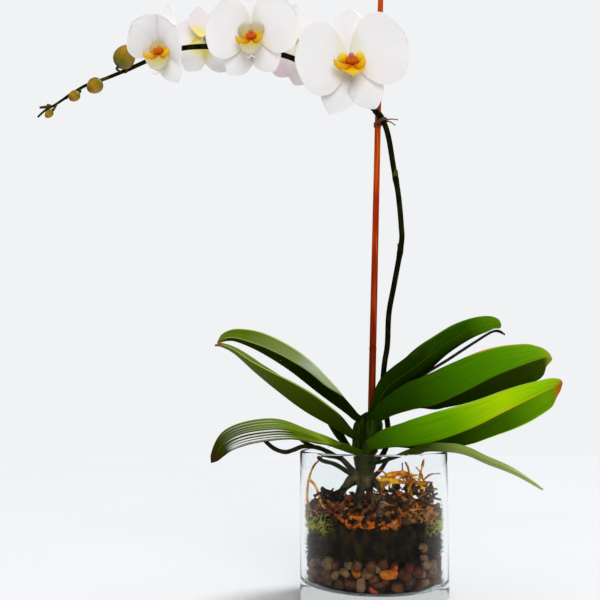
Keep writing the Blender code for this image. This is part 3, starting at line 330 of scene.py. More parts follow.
class Paint:
    """A material under construction, with short names for the nodes it uses."""

    def __init__(self, name, roughness=0.5, **constants):
        self.material = bpy.data.materials.new(name)
        self.material.use_nodes = True
        self.tree = self.material.node_tree
        self.shader = self.tree.nodes["Principled BSDF"]
        self.shader.inputs["Roughness"].default_value = roughness
        for label, setting in constants.items():
            self.shader.inputs[label.replace("_", " ")].default_value = setting

    def node(self, kind, output=0, settings=None, **sockets):
        """Any node: its settings first, then its sockets by name."""
        node = self.tree.nodes.new(kind)
        for label, setting in (settings or {}).items():
            setattr(node, label, setting)
        for label, item in sockets.items():
            plug(self.tree, node.inputs[label.replace("_", " ")], item)
        return Value(self.tree, node.outputs[output])

    def place(self):
        """The point in the object's own space, in metres."""
        return self.node("ShaderNodeTexCoord", "Object")

    def parts(self, vector):
        """The three numbers of a point."""
        split = self.tree.nodes.new("ShaderNodeSeparateXYZ")
        self.tree.links.new(vector.socket, split.inputs[0])
        return [Value(self.tree, out) for out in split.outputs]

    def uv(self):
        """The two coordinates of the piece's own UV map, across and along."""
        return self.parts(self.node("ShaderNodeUVMap", settings={"uv_map": "grid"}))[:2]

    def grain(self, scale, detail=3.0, stretch=(1, 1, 1), where=None):
        """Soft noise from 0 to 1."""
        spot = self.node("ShaderNodeMapping", Vector=where or self.place(), Scale=stretch)
        return self.node("ShaderNodeTexNoise", "Fac", Vector=spot, Scale=scale, Detail=detail)

    def cells(self, scale, feature="F1"):
        """Distance to scattered points."""
        return self.node("ShaderNodeTexVoronoi", "Distance", {"feature": feature},
                         Vector=self.place(), Scale=scale)

    def attribute(self, name):
        """A number stored on the mesh."""
        return self.node("ShaderNodeAttribute", "Fac", {"attribute_name": name})

    def is_mark(self, mark):
        """1 on the faces with this mark."""
        return ((self.attribute("mark") - mark).absolute() - 0.5).maths("LESS_THAN", 0.0)

    def between(self, low, high, value):
        """0 at low, 1 at high and smooth in between."""
        return self.node("ShaderNodeMapRange", 0, {"interpolation_type": "SMOOTHSTEP"},
                         Value=value, From_Min=low, From_Max=high)

    def mix(self, share, first, second):
        """A colour between two colours, each a value or three screen values."""
        node = self.tree.nodes.new("ShaderNodeMix")
        node.data_type = "RGBA"
        # The node's share, its two colours and its colour output, by number as their names repeat.
        for index, item in ((0, share), (6, first), (7, second)):
            plug(self.tree, node.inputs[index], tone(*item) if isinstance(item, tuple) else item)
        return Value(self.tree, node.outputs[2])

    def ramp(self, value, stops, stepped=False):
        """A colour ramp from stops of a place and a colour in screen values."""
        node = self.tree.nodes.new("ShaderNodeValToRGB")
        plug(self.tree, node.inputs[0], value)
        ramp = node.color_ramp
        ramp.interpolation = "CONSTANT" if stepped else "LINEAR"
        while len(ramp.elements) < len(stops):
            ramp.elements.new(0.5)
        for mark, (place, _) in zip(ramp.elements, stops):
            mark.position = place
        for mark, (_, colour) in zip(ramp.elements, stops):
            mark.color = tone(*colour)
        return Value(self.tree, node.outputs[0])

    def set(self, label, item):
        """Drive one input of the shader."""
        plug(self.tree, self.shader.inputs[label], item)

    def skin(self, shade, height, strength, distance):
        """The material with its colour and a relief, whose distance is in millimetres."""
        self.set("Base Color", shade)
        self.set("Normal", self.node("ShaderNodeBump", 0, None, Height=height,
                                     Strength=strength, Distance=distance * MM))
        return self.material


def tone(red, green, blue):
    """An opaque colour from screen values of 0 to 255."""
    shares = [v / 255 for v in (red, green, blue)]
    return tuple(v / 12.92 if v < 0.04045 else ((v + 0.055) / 1.055) ** 2.4 for v in shares) + (1.0,)


def smooth(value):
    """Smoothstep of a number, held between 0 and 1."""
    value = min(max(value, 0.0), 1.0)
    return value * value * (3 - 2 * value)


def profile(points, place):
    """A value read off a smooth line through (place, value) points."""
    for i in range(len(points) - 1):
        (a, low), (b, high) = points[i], points[i + 1]
        if place <= b or i == len(points) - 2:
            before = points[max(i - 1, 0)]
            after = points[min(i + 2, len(points) - 1)]
            wide = b - a
            lean = (high - before[1]) / (b - before[0]) * wide
            next_lean = (after[1] - low) / (after[0] - a) * wide
            t = min(max((place - a) / wide, 0.0), 1.0)
            return ((2 * t ** 3 - 3 * t ** 2 + 1) * low + (t ** 3 - 2 * t ** 2 + t) * lean
                    + (3 * t ** 2 - 2 * t ** 3) * high + (t ** 3 - t ** 2) * next_lean)


def rounded_end(place, share):
    """1 along a blade, falling off round over the last share of it."""
    over = max(0.0, place - (1 - share)) / share
    return math.sqrt(max(0.0, 1.0 - over * over))


def curve_point(points, place):
    """A point of the smooth curve through the given points, place running from 0 to their number - 1."""
    last = len(points) - 1
    index = min(int(place), last - 1)
    part = place - index
    before = points[max(index - 1, 0)]
    start = points[index]
    end = points[index + 1]
    after = points[min(index + 2, last)]
    return 0.5 * ((2 * start) + (end - before) * part
                  + (2 * before - 5 * start + 4 * end - after) * part ** 2
                  + (3 * start - before - 3 * end + after) * part ** 3)


def smooth_path(points, count):
    """Points set evenly along the smooth curve through the given points."""
    points = [Vector(p) for p in points]
    fine = 16 * (len(points) - 1)
    walk = [curve_point(points, i / 16) for i in range(fine + 1)]
    lengths = [0.0]
    for a, b in zip(walk, walk[1:]):
        lengths.append(lengths[-1] + (b - a).length)
    path = []
    at = 0
    for i in range(count):
        target = lengths[-1] * i / (count - 1)
        while at < fine - 1 and lengths[at + 1] < target:
            at += 1
        share = (target - lengths[at]) / (lengths[at + 1] - lengths[at])
        path.append(walk[at].lerp(walk[at + 1], min(max(share, 0.0), 1.0)))
    return path


def tangents(path):
    """Directions along a path."""
    ends = [path[0]] + path + [path[-1]]
    return [(b - a).normalized() for a, b in zip(ends, ends[2:])]


class Shape:
    """Points, faces, UVs and marks of one piece while it is put together."""

    def __init__(self):
        self.points = []
        self.faces = []
        self.uvs = []
        self.marks = []
        self.mark = 0.0
        self.tones = []

    def tone_rest(self, value):
        """Give one tone to the points that have none yet."""
        self.tones += [value] * (len(self.points) - len(self.tones))

    def face(self, corners, uvs):
        """One face with its UVs and the current mark."""
        self.faces.append(tuple(corners))
        self.uvs.append(tuple(uvs))
        self.marks.append(self.mark)

    def grid(self, rows, closed=False, flip=False, levels=None):
        """A sheet of rows of points; closed joins each row's end to its start, levels are the rows' V."""
        levels = levels or [r / (len(rows) - 1) for r in range(len(rows))]
        base = len(self.points)
        count = len(rows[0])
        for row in rows:
            self.points += row
        wide = count if closed else count - 1
        for r in range(len(rows) - 1):
            for c in range(wide):
                n = (c + 1) % count
                a, b = base + r * count + c, base + r * count + n
                d, e = base + (r + 1) * count + n, base + (r + 1) * count + c
                u0, u1 = c / wide, (c + 1) / wide
                v0, v1 = levels[r], levels[r + 1]
                corners, uvs = [a, b, d, e], [(u0, v0), (u1, v0), (u1, v1), (u0, v1)]
                if flip:
                    corners, uvs = corners[::-1], uvs[::-1]
                self.face(corners, uvs)
        return base, count

    def tube(self, rings):
        """A closed body through rings, its ends capped."""
        base, count = self.grid(rings, closed=True)
        last = base + (len(rings) - 1) * count
        self.face([base + i for i in range(count - 1, -1, -1)], [(0.5, 0.0)] * count)
        self.face([last + i for i in range(count)], [(0.5, 1.0)] * count)

    def strand(self, route, steps, radius, sides):
        """A closed round body along the smooth curve through a route."""
        self.tube(rings_along(smooth_path(route, steps), radius, sides))

    def slab(self, upper, lower, levels=None):
        """A thin blade between two grids of points."""
        rows, cols = len(upper), len(upper[0])
        levels = levels or [r / (rows - 1) for r in range(rows)]
        base, _ = self.grid(upper, levels=levels)
        under, _ = self.grid(lower, flip=True, levels=levels)
        rim = [(0, c) for c in range(cols)] + [(r, cols - 1) for r in range(1, rows)]
        rim += [(rows - 1, c) for c in range(cols - 2, -1, -1)]
        rim += [(r, 0) for r in range(rows - 2, 0, -1)]
        for (ra, ca), (rb, cb) in zip(rim, rim[1:] + rim[:1]):
            a, b = base + ra * cols + ca, base + rb * cols + cb
            c, d = under + rb * cols + cb, under + ra * cols + ca
            ua, ub = (ca / (cols - 1), levels[ra]), (cb / (cols - 1), levels[rb])
            self.face([b, a, d, c], [ub, ua, ua, ub])

    def build(self, name, material, sharp=40.0, turn=None, move=None):
        """The finished object in metres, with outward normals and its UV map."""
        mesh = bpy.data.meshes.new(name)
        places = [Vector(p) for p in self.points]
        if turn:
            places = [turn @ p for p in places]
        if move:
            places = [p + Vector(move) for p in places]
        mesh.from_pydata([p * MM for p in places], [], self.faces)
        layer = mesh.uv_layers.new(name="grid")
        layer.data.foreach_set("uv", [number for uvs in self.uvs for pair in uvs for number in pair])
        store = mesh.attributes.new("mark", "FLOAT", "FACE")
        store.data.foreach_set("value", self.marks)
        work = bmesh.new()
        work.from_mesh(mesh)
        bmesh.ops.recalc_face_normals(work, faces=work.faces)
        work.to_mesh(mesh)
        work.free()
        if self.tones:
            mesh.attributes.new("tone", "FLOAT", "POINT").data.foreach_set("value", self.tones)
        for polygon in mesh.polygons:
            polygon.use_smooth = True
        mesh.set_sharp_from_angle(angle=math.radians(sharp))
        mesh.materials.append(material)
        obj = bpy.data.objects.new(name, mesh)
        bpy.context.scene.collection.objects.link(obj)
        return obj


class Growth:
    """A Geometry Nodes tree under construction, with named inputs for its sizes."""

    def __init__(self, name):
        self.tree = bpy.data.node_groups.new(name, "GeometryNodeTree")
        sides = self.tree.interface
        sides.new_socket("Geometry", in_out="INPUT", socket_type="NodeSocketGeometry")
        sides.new_socket("Geometry", in_out="OUTPUT", socket_type="NodeSocketGeometry")
        self.start = self.tree.nodes.new("NodeGroupInput")
        self.end = self.tree.nodes.new("NodeGroupOutput")
        self.settings = {}

    def size(self, name, value):
        """A named input and its value on the modifier."""
        whole = isinstance(value, int)
        kind = "NodeSocketInt" if whole else "NodeSocketFloat"
        socket = self.tree.interface.new_socket(name, in_out="INPUT", socket_type=kind)
        self.settings[socket.identifier] = value
        return self.start.outputs[name]

    def add(self, kind, settings=None, **sockets):
        """A node: its settings first, then its sockets by name; returns its first output in use."""
        node = self.tree.nodes.new(kind)
        for label, setting in (settings or {}).items():
            setattr(node, label, setting)
        for label, item in sockets.items():
            wanted = label.replace("_", " ")
            slot = next(s for s in node.inputs if s.enabled and s.name == wanted)
            if isinstance(item, bpy.types.NodeSocket):
                self.tree.links.new(item, slot)
            else:
                slot.default_value = item
        return next(s for s in node.outputs if s.enabled)

    def random(self, low, high, seed):
        """A random vector or number for each point."""
        kind = "FLOAT_VECTOR" if isinstance(low, tuple) else "FLOAT"
        return self.add("FunctionNodeRandomValue", {"data_type": kind}, Min=low, Max=high, Seed=seed)

    def both(self, first, second):
        """Two geometries together."""
        node = self.tree.nodes.new("GeometryNodeJoinGeometry")
        self.tree.links.new(first, node.inputs[0])
        self.tree.links.new(second, node.inputs[0])
        return node.outputs[0]

    def scatter(self, piece, spacing, scale, seed, lean):
        """Copies of a piece over the marked faces, stood on them, turned and sized at random."""
        marked = self.add("GeometryNodeInputNamedAttribute", {"data_type": "FLOAT"}, Name="mark")
        spread = self.tree.nodes.new("GeometryNodeDistributePointsOnFaces")
        spread.distribute_method = "POISSON"
        self.tree.links.new(self.start.outputs["Geometry"], spread.inputs["Mesh"])
        self.tree.links.new(marked, spread.inputs["Selection"])
        self.tree.links.new(spacing, spread.inputs["Distance Min"])
        self.tree.links.new(seed, spread.inputs["Seed"])
        spread.inputs["Density Max"].default_value = SCATTER_DENSITY
        swing = self.add("FunctionNodeEulerToRotation",
                         Euler=self.random((-lean, -lean, 0.0), (lean, lean, 2 * math.pi), 3))
        turned = self.add("FunctionNodeRotateRotation", {"rotation_space": "LOCAL"},
                          Rotation=spread.outputs["Rotation"], Rotate_By=swing)
        copies = self.add("GeometryNodeInstanceOnPoints", Points=spread.outputs["Points"],
                          Instance=piece, Rotation=turned, Scale=scale)
        toned = self.add("GeometryNodeStoreNamedAttribute", {"data_type": "FLOAT", "domain": "INSTANCE"},
                         Geometry=copies, Name="tone", Value=self.random(0.0, 1.0, 9))
        return self.add("GeometryNodeRealizeInstances", Geometry=toned)

    def ruffle(self, geometry, scale, amount):
        """Push the points about by soft noise."""
        spot = self.add("GeometryNodeInputPosition")
        noise = self.tree.nodes.new("ShaderNodeTexNoise")
        noise.inputs["Scale"].default_value = scale
        self.tree.links.new(spot, noise.inputs["Vector"])
        centred = self.tree.nodes.new("ShaderNodeVectorMath")
        centred.operation = "SUBTRACT"
        centred.inputs[1].default_value = (0.5, 0.5, 0.5)
        self.tree.links.new(noise.outputs["Color"], centred.inputs[0])
        push = self.add("ShaderNodeVectorMath", {"operation": "SCALE"}, Vector=centred.outputs[0],
                        Scale=amount)
        return self.add("GeometryNodeSetPosition", Geometry=geometry, Offset=push)

    def grow(self, obj, last, material, is_smooth):
        """Run the tree on an object and keep the result as its plain mesh."""
        shaded = self.add("GeometryNodeSetShadeSmooth", Geometry=last, Shade_Smooth=is_smooth)
        whole = self.add("GeometryNodeRealizeInstances", Geometry=shaded)
        painted = self.add("GeometryNodeSetMaterial", Geometry=whole, Material=material)
        self.tree.links.new(painted, self.end.inputs[0])
        modifier = obj.modifiers.new("grow", "NODES")
        modifier.node_group = self.tree
        for identifier, value in self.settings.items():
            modifier[identifier] = value
        graph = bpy.context.evaluated_depsgraph_get()
        mesh = bpy.data.meshes.new_from_object(obj.evaluated_get(graph))
        obj.modifiers.clear()
        obj.data = mesh
        return obj


def rings_along(path, radius, sides, side=None):
    """Rings of points round a path, radius a function of the share along it and the turn."""
    rings = []
    for i, (centre, along) in enumerate(zip(path, tangents(path))):
        side = side or along.orthogonal()
        side = (side - along * side.dot(along)).normalized()
        up = along.cross(side)
        place = i / (len(path) - 1)
        turns = [2 * math.pi * k / sides for k in range(sides)]
        rings.append([centre + radius(place, t) * (math.cos(t) * side + math.sin(t) * up) for t in turns])
    return rings


def lathe(levels, sides, at):
    """Rings of points, at giving the point for a level and a turn."""
    turns = [2 * math.pi * k / sides for k in range(sides)]
    return [[at(level, t) for t in turns] for level in levels]


def tip_levels(rows):
    """Places along a blade, set closer towards its tip."""
    return [math.sin(math.pi / 2 * r / rows) for r in range(rows + 1)]


def blade(shape, levels, columns, at):
    """A thin blade; at gives its middle and half of its thickness for a place and a share across."""
    upper, lower = [], []
    for place in levels:
        row = [at(place, -1.0 + 2.0 * c / columns) for c in range(columns + 1)]
        upper.append([spot + half for spot, half in row])
        lower.append([spot - half for spot, half in row])
    shape.slab(upper, lower, levels)


def settle(obj, slot, *nodes):
    """A finished piece rides on the root and stands for its CAD nodes."""
    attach(obj, "root")
    if nodes:
        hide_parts(*nodes)
    return obj


# Leaves


def blend_three(values, place):
    """A value that goes from base to middle to tip."""
    base, middle, tip = values
    if place < 0.4:
        return base + (middle - base) * smooth(place / 0.4)
    return middle + (tip - middle) * (place - 0.4) / 0.6


def make_leaf(name, material, ridges):
    """A folded strap leaf with a sunk midrib, long ridges and a rounded edge and tip."""
    route, half_width, far_angles, near_angles, shape = LEAVES[name]
    outline = LEAF_OUTLINES[shape]
    blunt = 0.03 if shape in ("slender", "tapered") else 0.09
    fine = smooth_path(route, FINE_STEPS + 1)
    directions = tangents(fine)
    levels = [TIP_START * r / LEAF_ROWS for r in range(LEAF_ROWS)]
    levels += [TIP_START + (1 - TIP_START) * place for place in tip_levels(TIP_ROWS)]

    def at(place, share):
        """A point on the middle of the leaf and half of its thickness."""
        index = round(place * FINE_STEPS)
        centre, along = fine[index], directions[index]
        level = Vector((-along.y, along.x, 0)).normalized()
        level *= 1 if level.y > 0 else -1
        rise = along.cross(level)
        rise *= 1 if rise.z > 0 else -1
        width = half_width * max(profile(outline, place) * rounded_end(place, blunt), 0.02)
        far, near = (math.radians(blend_three(a, place)) for a in (far_angles, near_angles))
        middle = (far + near) / 2
        inside = math.cos(middle) * level + math.sin(middle) * rise
        angle = near if share < 0 else far
        out = math.cos(angle) * level + math.sin(angle) * rise
        flat = (inside - out * inside.dot(out)).normalized()
        ease = min(1.0, abs(share) / FOLD_SHARE)
        normal = (inside * (1 - ease) + flat * ease).normalized()
        thick = LEAF_RIB_THICKNESS + (LEAF_EDGE_THICKNESS - LEAF_RIB_THICKNESS) * abs(share)
        thick *= 0.7 + 0.3 * min(1.0, width / half_width)
        thick *= 0.35 + 0.65 * math.sqrt(max(0.0, 1.0 - abs(share) ** 12))
        bow = 0.05 * width * math.sin(math.pi * abs(share))
        ridge = ridges * math.cos(RIDGE_COUNT * math.pi * share) * (1 - abs(share) ** 4)
        ridge *= smooth(place / 0.3) * smooth((1 - place) / 0.12)
        return centre + out * (width * abs(share)) + normal * (ridge - bow), normal * thick / 2

    leaf = Shape()
    blade(leaf, levels, LEAF_COLUMNS, at)
    return settle(leaf.build(name + "_blade", material, 60), "leaf_green", name)


# Shades of each leaf's two halves from base to tip, one half painted lit and the other in painted shade,
# then of its rims, tip and rib, and its ridges and gloss.
LEAF_LOOKS = {
    "leaf_left_upper": {
        # The far half's pale grey-green middle is a painted sheen.
        "far": ((0.0, (16, 28, 3)), (0.14, (34, 50, 8)), (0.22, (160, 178, 124)),
                (0.44, (176, 192, 162)), (0.58, (134, 150, 84)), (0.86, (92, 116, 20))),
        "near": ((0.0, (16, 28, 1)), (0.5, (22, 34, 1)), (1.0, (44, 58, 4))),
        "far_rim": (206, 218, 140), "near_rim": (150, 170, 96), "tip": (110, 112, 40),
        "tip_start": 0.97, "rim_start": 0.2, "ridges": 0.1, "gloss": 0.0},
    "leaf_left_middle": {
        "far": ((0.0, (30, 48, 4)), (0.2, (76, 116, 14)), (0.5, (96, 136, 26)),
                (0.9, (104, 122, 36))),
        "near": ((0.0, (26, 40, 2)), (0.3, (50, 62, 4)), (0.6, (70, 86, 12)),
                 (0.95, (100, 112, 34))),
        "far_rim": (150, 178, 80), "near_rim": (170, 186, 90), "tip": (130, 100, 40),
        "tip_start": 0.965, "rim_start": 0.2, "ridges": 0.12, "gloss": 0.02},
    "leaf_left_lower": {
        "far": ((0.0, (36, 54, 4)), (0.2, (84, 118, 8)), (0.32, (176, 206, 50)),
                (0.5, (150, 184, 40)), (0.7, (120, 146, 24)), (0.8, (84, 100, 8)),
                (0.9, (52, 60, 4))),
        "near": ((0.0, (34, 52, 4)), (0.2, (72, 104, 4)), (0.32, (150, 184, 20)),
                 (0.5, (120, 150, 14)), (0.7, (112, 126, 30)), (0.8, (64, 76, 4)),
                 (1.0, (44, 46, 4))),
        "far_rim": (214, 226, 140), "near_rim": (48, 54, 14), "tip": (52, 44, 12),
        "tip_start": 0.95, "rim_start": 0.2, "ridges": 0.6, "gloss": 0.04},
    "leaf_left_back": {
        "far": ((0.0, (10, 18, 2)), (1.0, (16, 26, 4))),
        "near": ((0.0, (10, 18, 2)), (1.0, (16, 26, 4))),
        "far_rim": (30, 44, 10), "near_rim": (30, 44, 10), "tip": (50, 40, 14),
        "tip_start": 0.96, "rim_start": 0.2, "ridges": 0.1, "gloss": 0.0},
    "leaf_right_upper": {
        "far": ((0.0, (14, 30, 1)), (0.5, (30, 52, 1)), (0.8, (46, 84, 2)),
                (0.95, (96, 150, 8))),
        "near": ((0.0, (20, 38, 1)), (0.5, (34, 60, 1)), (0.78, (50, 92, 2)),
                 (0.95, (104, 164, 10))),
        "far_rim": (120, 150, 50), "near_rim": (84, 124, 16), "tip": (110, 160, 16),
        "tip_start": 0.985, "rim_start": 0.45, "ridges": 0.12, "gloss": 0.0},
    "leaf_right_middle": {
        "far": ((0.0, (16, 30, 1)), (0.5, (26, 40, 1)), (0.85, (40, 56, 2)),
                (1.0, (60, 78, 8))),
        "near": ((0.0, (20, 38, 1)), (0.25, (36, 66, 1)), (0.5, (60, 108, 2)),
                 (0.8, (84, 142, 6)), (1.0, (110, 160, 16))),
        "far_rim": (70, 92, 14), "near_rim": (196, 158, 50), "tip": (136, 140, 30),
        "tip_start": 0.99, "rim_start": 0.6, "ridges": 0.14, "gloss": 0.0},
    "leaf_right_lower": {
        "far": ((0.0, (20, 34, 1)), (0.45, (30, 50, 1)), (0.7, (62, 104, 2)),
                (0.9, (106, 156, 6)), (1.0, (126, 136, 16))),
        "near": ((0.0, (38, 64, 1)), (0.2, (72, 124, 2)), (0.45, (112, 176, 3)),
                 (0.7, (186, 228, 8)), (0.9, (156, 216, 8)), (1.0, (170, 180, 30))),
        "far_rim": (150, 200, 40), "near_rim": (160, 200, 50), "tip": (176, 92, 14),
        "tip_start": 0.985, "rim_start": 0.4, "ridges": 0.16, "gloss": 0.0, "rib": (236, 206, 40)},
    "leaf_right_lowest": {
        "far": ((0.0, (20, 34, 3)), (0.4, (50, 74, 14)), (0.56, (150, 168, 80)),
                (1.0, (196, 208, 140))),
        "near": ((0.0, (18, 30, 3)), (0.4, (44, 64, 12)), (0.56, (140, 162, 70)),
                 (1.0, (188, 202, 128))),
        "far_rim": (150, 170, 90), "near_rim": (130, 150, 70), "tip": (176, 184, 110),
        "tip_start": 0.97, "rim_start": 0.5, "ridges": 0.08, "gloss": 0.02},
    "leaf_right_back": {
        "far": ((0.0, (24, 30, 30)), (1.0, (30, 34, 32))),
        "near": ((0.0, (24, 30, 30)), (1.0, (30, 34, 32))),
        "far_rim": (50, 56, 50), "near_rim": (50, 56, 50), "tip": (22, 20, 12),
        "tip_start": 0.95, "rim_start": 0.3, "ridges": 0.05, "gloss": 0.0},
}


def leaf_paint(name, look):
    """Glossy leaf skin: each half in its own shades with painted light and shade, long veins, a thin rim
    and a dry tip, and on ridged leaves painted shade in the grooves and painted white highlights.
    """
    paint = Paint(name, 0.3, Specular_IOR_Level=look["gloss"])
    across, along = paint.uv()
    side = (across - 0.5).absolute() * 2.0
    far = paint.between(0.485, 0.515, across)
    mottle = paint.grain(70.0, 4.0)
    patches = paint.grain(22.0, 2.0)
    lengthways = paint.node("ShaderNodeUVMap", settings={"uv_map": "grid"})
    fibres = paint.grain(1.0, 3.0, (80.0, 4.0, 1.0), lengthways)
    # The two halves' ramps hold painted light and shade: one half painted lit, the other in painted shade.
    near_shade = paint.ramp(along + patches * 0.08 - 0.04, look["near"])
    shade = paint.mix(far, near_shade, paint.ramp(along + patches * 0.08 - 0.04, look["far"]))
    shade = paint.mix(paint.between(0.4, 0.75, fibres) * 0.3, shade, (20, 34, 2))
    shade = paint.mix(paint.between(0.55, 0.85, patches) * 0.15, shade, (150, 176, 40))
    if look["ridges"] > 0.3:
        across_ridges = (across * (2 * RIDGE_COUNT * math.pi) + math.pi).maths("COSINE")
        band = paint.between(0.26, 0.4, along) * paint.between(0.9, 0.78, along)
        # Painted shade in dark stripes along the grooves between the ridges.
        groove = paint.between(0.0, 0.75, across_ridges) * band * (1.0 - far * 0.6)
        # A broad painted white highlight on the near half towards the tip.
        painted_highlight_patch = paint.between(0.50, 0.72, along) * paint.between(0.91, 0.84, along)
        shade = paint.mix(painted_highlight_patch * paint.between(0.25, 0.8, side) * (1.0 - far) * 0.75, shade,
                          (250, 252, 244))
        # Painted white highlights in stripes between the grooves.
        painted_ridge_highlight = paint.between(-0.3, 0.5, across_ridges * -1.0) * paint.between(0.34, 0.46, fibres)
        # Lay the painted groove shade on the colour.
        shade = paint.mix(groove * 0.95, shade, (24, 32, 2))
        shade = paint.mix(painted_ridge_highlight * paint.between(0.50, 0.62, along) * band * (1.0 - far * 0.7), shade,
                          (255, 255, 250))
    rib = paint.between(0.05, 0.0, side)
    shade = paint.mix(rib * 0.3, shade, (110, 140, 30))
    if "rib" in look:
        shade = paint.mix(rib * paint.between(0.45, 0.8, along) * 0.9, shade, look["rib"])
    rim = paint.mix(far, look["near_rim"], look["far_rim"])
    edge = paint.between(0.93, 0.985, side + mottle * 0.02)
    shade = paint.mix(edge * paint.between(look["rim_start"], look["rim_start"] + 0.12, along), shade, rim)
    dry = paint.between(look["tip_start"] - 0.03, look["tip_start"] + 0.015, along + mottle * 0.02)
    shade = paint.mix(dry, shade, look["tip"])
    paint.set("Roughness", 0.24 + mottle * 0.16)
    return paint.skin(shade, fibres + mottle * 0.5, 0.22, 0.35)


def make_leaves():
    """Every leaf in its own shades."""
    for name, look in LEAF_LOOKS.items():
        make_leaf(name, leaf_paint(name + "_skin", look), look["ridges"])


# Stem, spike, cane and tie


def make_stem():
    """The short stem: leaf sheaths that clasp each other from left and right."""
    lines = [tuple((s[0] / STEM_HEIGHT, s[k]) for s in STEM_SECTIONS) for k in (1, 2, 3)]

    def at(place, t):
        """A point of the sheaths' outline."""
        centre, half_x, half_y = (profile(line, place) for line in lines)
        crease = 0.5 * abs(math.cos(t + place * 2.0)) ** 6 - 0.5 * abs(math.sin(place * 5 * math.pi))
        return Vector((centre + (half_x + crease) * math.cos(t), (half_y + crease) * math.sin(t),
                       STEM_FOOT + STEM_HEIGHT * place))

    stem = Shape()
    stem.tube(lathe([r / 60 for r in range(61)], 40, at))
    paint = Paint("stem_skin", 0.35, Specular_IOR_Level=0.02)
    height = paint.parts(paint.place())[2]
    fibres = paint.grain(40.0, 4.0, (6.0, 6.0, 0.6))
    shade = paint.mix(paint.between(0.35, 0.7, fibres), (12, 22, 2), (40, 60, 8))
    shade = paint.mix(paint.between(0.150, 0.132, height) * 0.5, shade, (56, 52, 18))
    skin = paint.skin(shade, fibres, 0.4, 0.6)
    settle(stem.build("stem_sheaths", skin, 50), "leaf_green", "plant_stem")


def spike_radius(place):
    """The spike's radius from its foot, 0, to its tip, 1."""
    if place < SPIKE_SHOULDER:
        return SPIKE_RADIUS - 0.1 * place
    past = (place - SPIKE_SHOULDER) / (1 - SPIKE_SHOULDER)
    return SPIKE_SHOULDER_RADIUS + (SPIKE_TIP_RADIUS - SPIKE_SHOULDER_RADIUS) * past


def bloom_turn(angles):
    """The rotation of a bloom from its yaw, pitch and roll in degrees."""
    yaw, pitch, roll = (math.radians(a) for a in angles)
    return (Matrix.Rotation(yaw, 3, "Z") @ Matrix.Rotation(math.pi / 2 + pitch, 3, "X")
            @ Matrix.Rotation(roll, 3, "Z"))


def make_spike():
    """The flower spike with swollen nodes, bracts and the stalks of blooms and buds."""
    count = 260
    path = smooth_path(SPIKE_PATH, count)
    along = tangents(path)

    def radius(place, _):
        """The spike's own radius and its swollen nodes."""
        swell = sum(0.55 * math.exp(-((place - node) / 0.006) ** 2) for node, _ in SPIKE_BRACTS)
        return spike_radius(place) + swell * spike_radius(place) / 3.0

    spike = Shape()
    spike.tube(rings_along(path, radius, 14, Vector((0, 1, 0))))
    spike.mark = 1.0
    for hub, angles, span, _, start, _, _ in BLOOMS.values():
        facing = bloom_turn(angles) @ Vector((0, 0, 1))
        scale = span / REFERENCE_SPAN
        end = Vector(hub) - facing * (HUB_DEPTH * scale + GAP)
        bend = end - facing * 9 * scale
        spike.strand((start, Vector(start).lerp(bend, 0.6), bend, end), 24,
                     lambda p, t: 1.7 + 0.9 * smooth((p - 0.8) / 0.2), 10)
    spike.mark = 2.0
    for centre, axis, half, _, start in BUDS.values():
        axis = Vector(axis).normalized()
        end = Vector(centre) - axis * (half * 0.95 + GAP)
        spike.strand((start, end - axis * 3, end), 14,
                     lambda p, t: 1.2 + 0.5 * smooth((p - 0.7) / 0.3), 10)
    for place, turn in SPIKE_BRACTS:
        index = round(place * (count - 1))
        size = spike_radius(place) / 3.0
        out = Matrix.Rotation(math.radians(turn), 3, along[index]) @ Vector((0, 1, 0))
        out = (out - along[index] * out.dot(along[index])).normalized()
        side = along[index].cross(out)

        def bract(p, s):
            """A point on the middle of a bract and half of its thickness."""
            foot = path[index] + along[index] * (11 * p - 2) * size
            wide = 1.5 * (1 - p) ** 0.6 + 0.06
            spot = (math.cos(s * wide) * out + math.sin(s * wide) * side) * (3.0 + 1.4 * p) * size
            return foot + spot - spot.normalized() * 0.35, spot.normalized() * 0.35

        blade(spike, [r / 8 for r in range(9)], 5, bract)
    for tip in SPIKE_TIP_KNOBS:
        spike.strand((SPIKE_END, Vector(tip).lerp(Vector(SPIKE_END), 0.3), tip), 8,
                     lambda p, t: 1.0 + 0.6 * math.sin(math.pi * min(p, 0.9)), 10)
    paint = Paint("spike_skin", 0.45, Specular_IOR_Level=0.01)
    streaks = paint.grain(50.0, 4.0, (3.0, 3.0, 1.0))
    speckles = paint.between(0.55, 0.75, paint.grain(400.0, 2.0))
    shade = paint.mix(paint.between(0.35, 0.7, streaks), (10, 14, 2), (32, 34, 6))
    shade = paint.mix(speckles * 0.3, shade, (64, 56, 24))
    shade = paint.mix(paint.is_mark(1.0), shade, (168, 160, 96))
    shade = paint.mix(paint.is_mark(2.0), shade, paint.mix(streaks, (40, 34, 8), (96, 88, 24)))
    skin = paint.skin(shade, streaks, 0.3, 0.4)
    settle(spike.build("spike_stalk", skin, 50), "spike_green", "flower_spike")


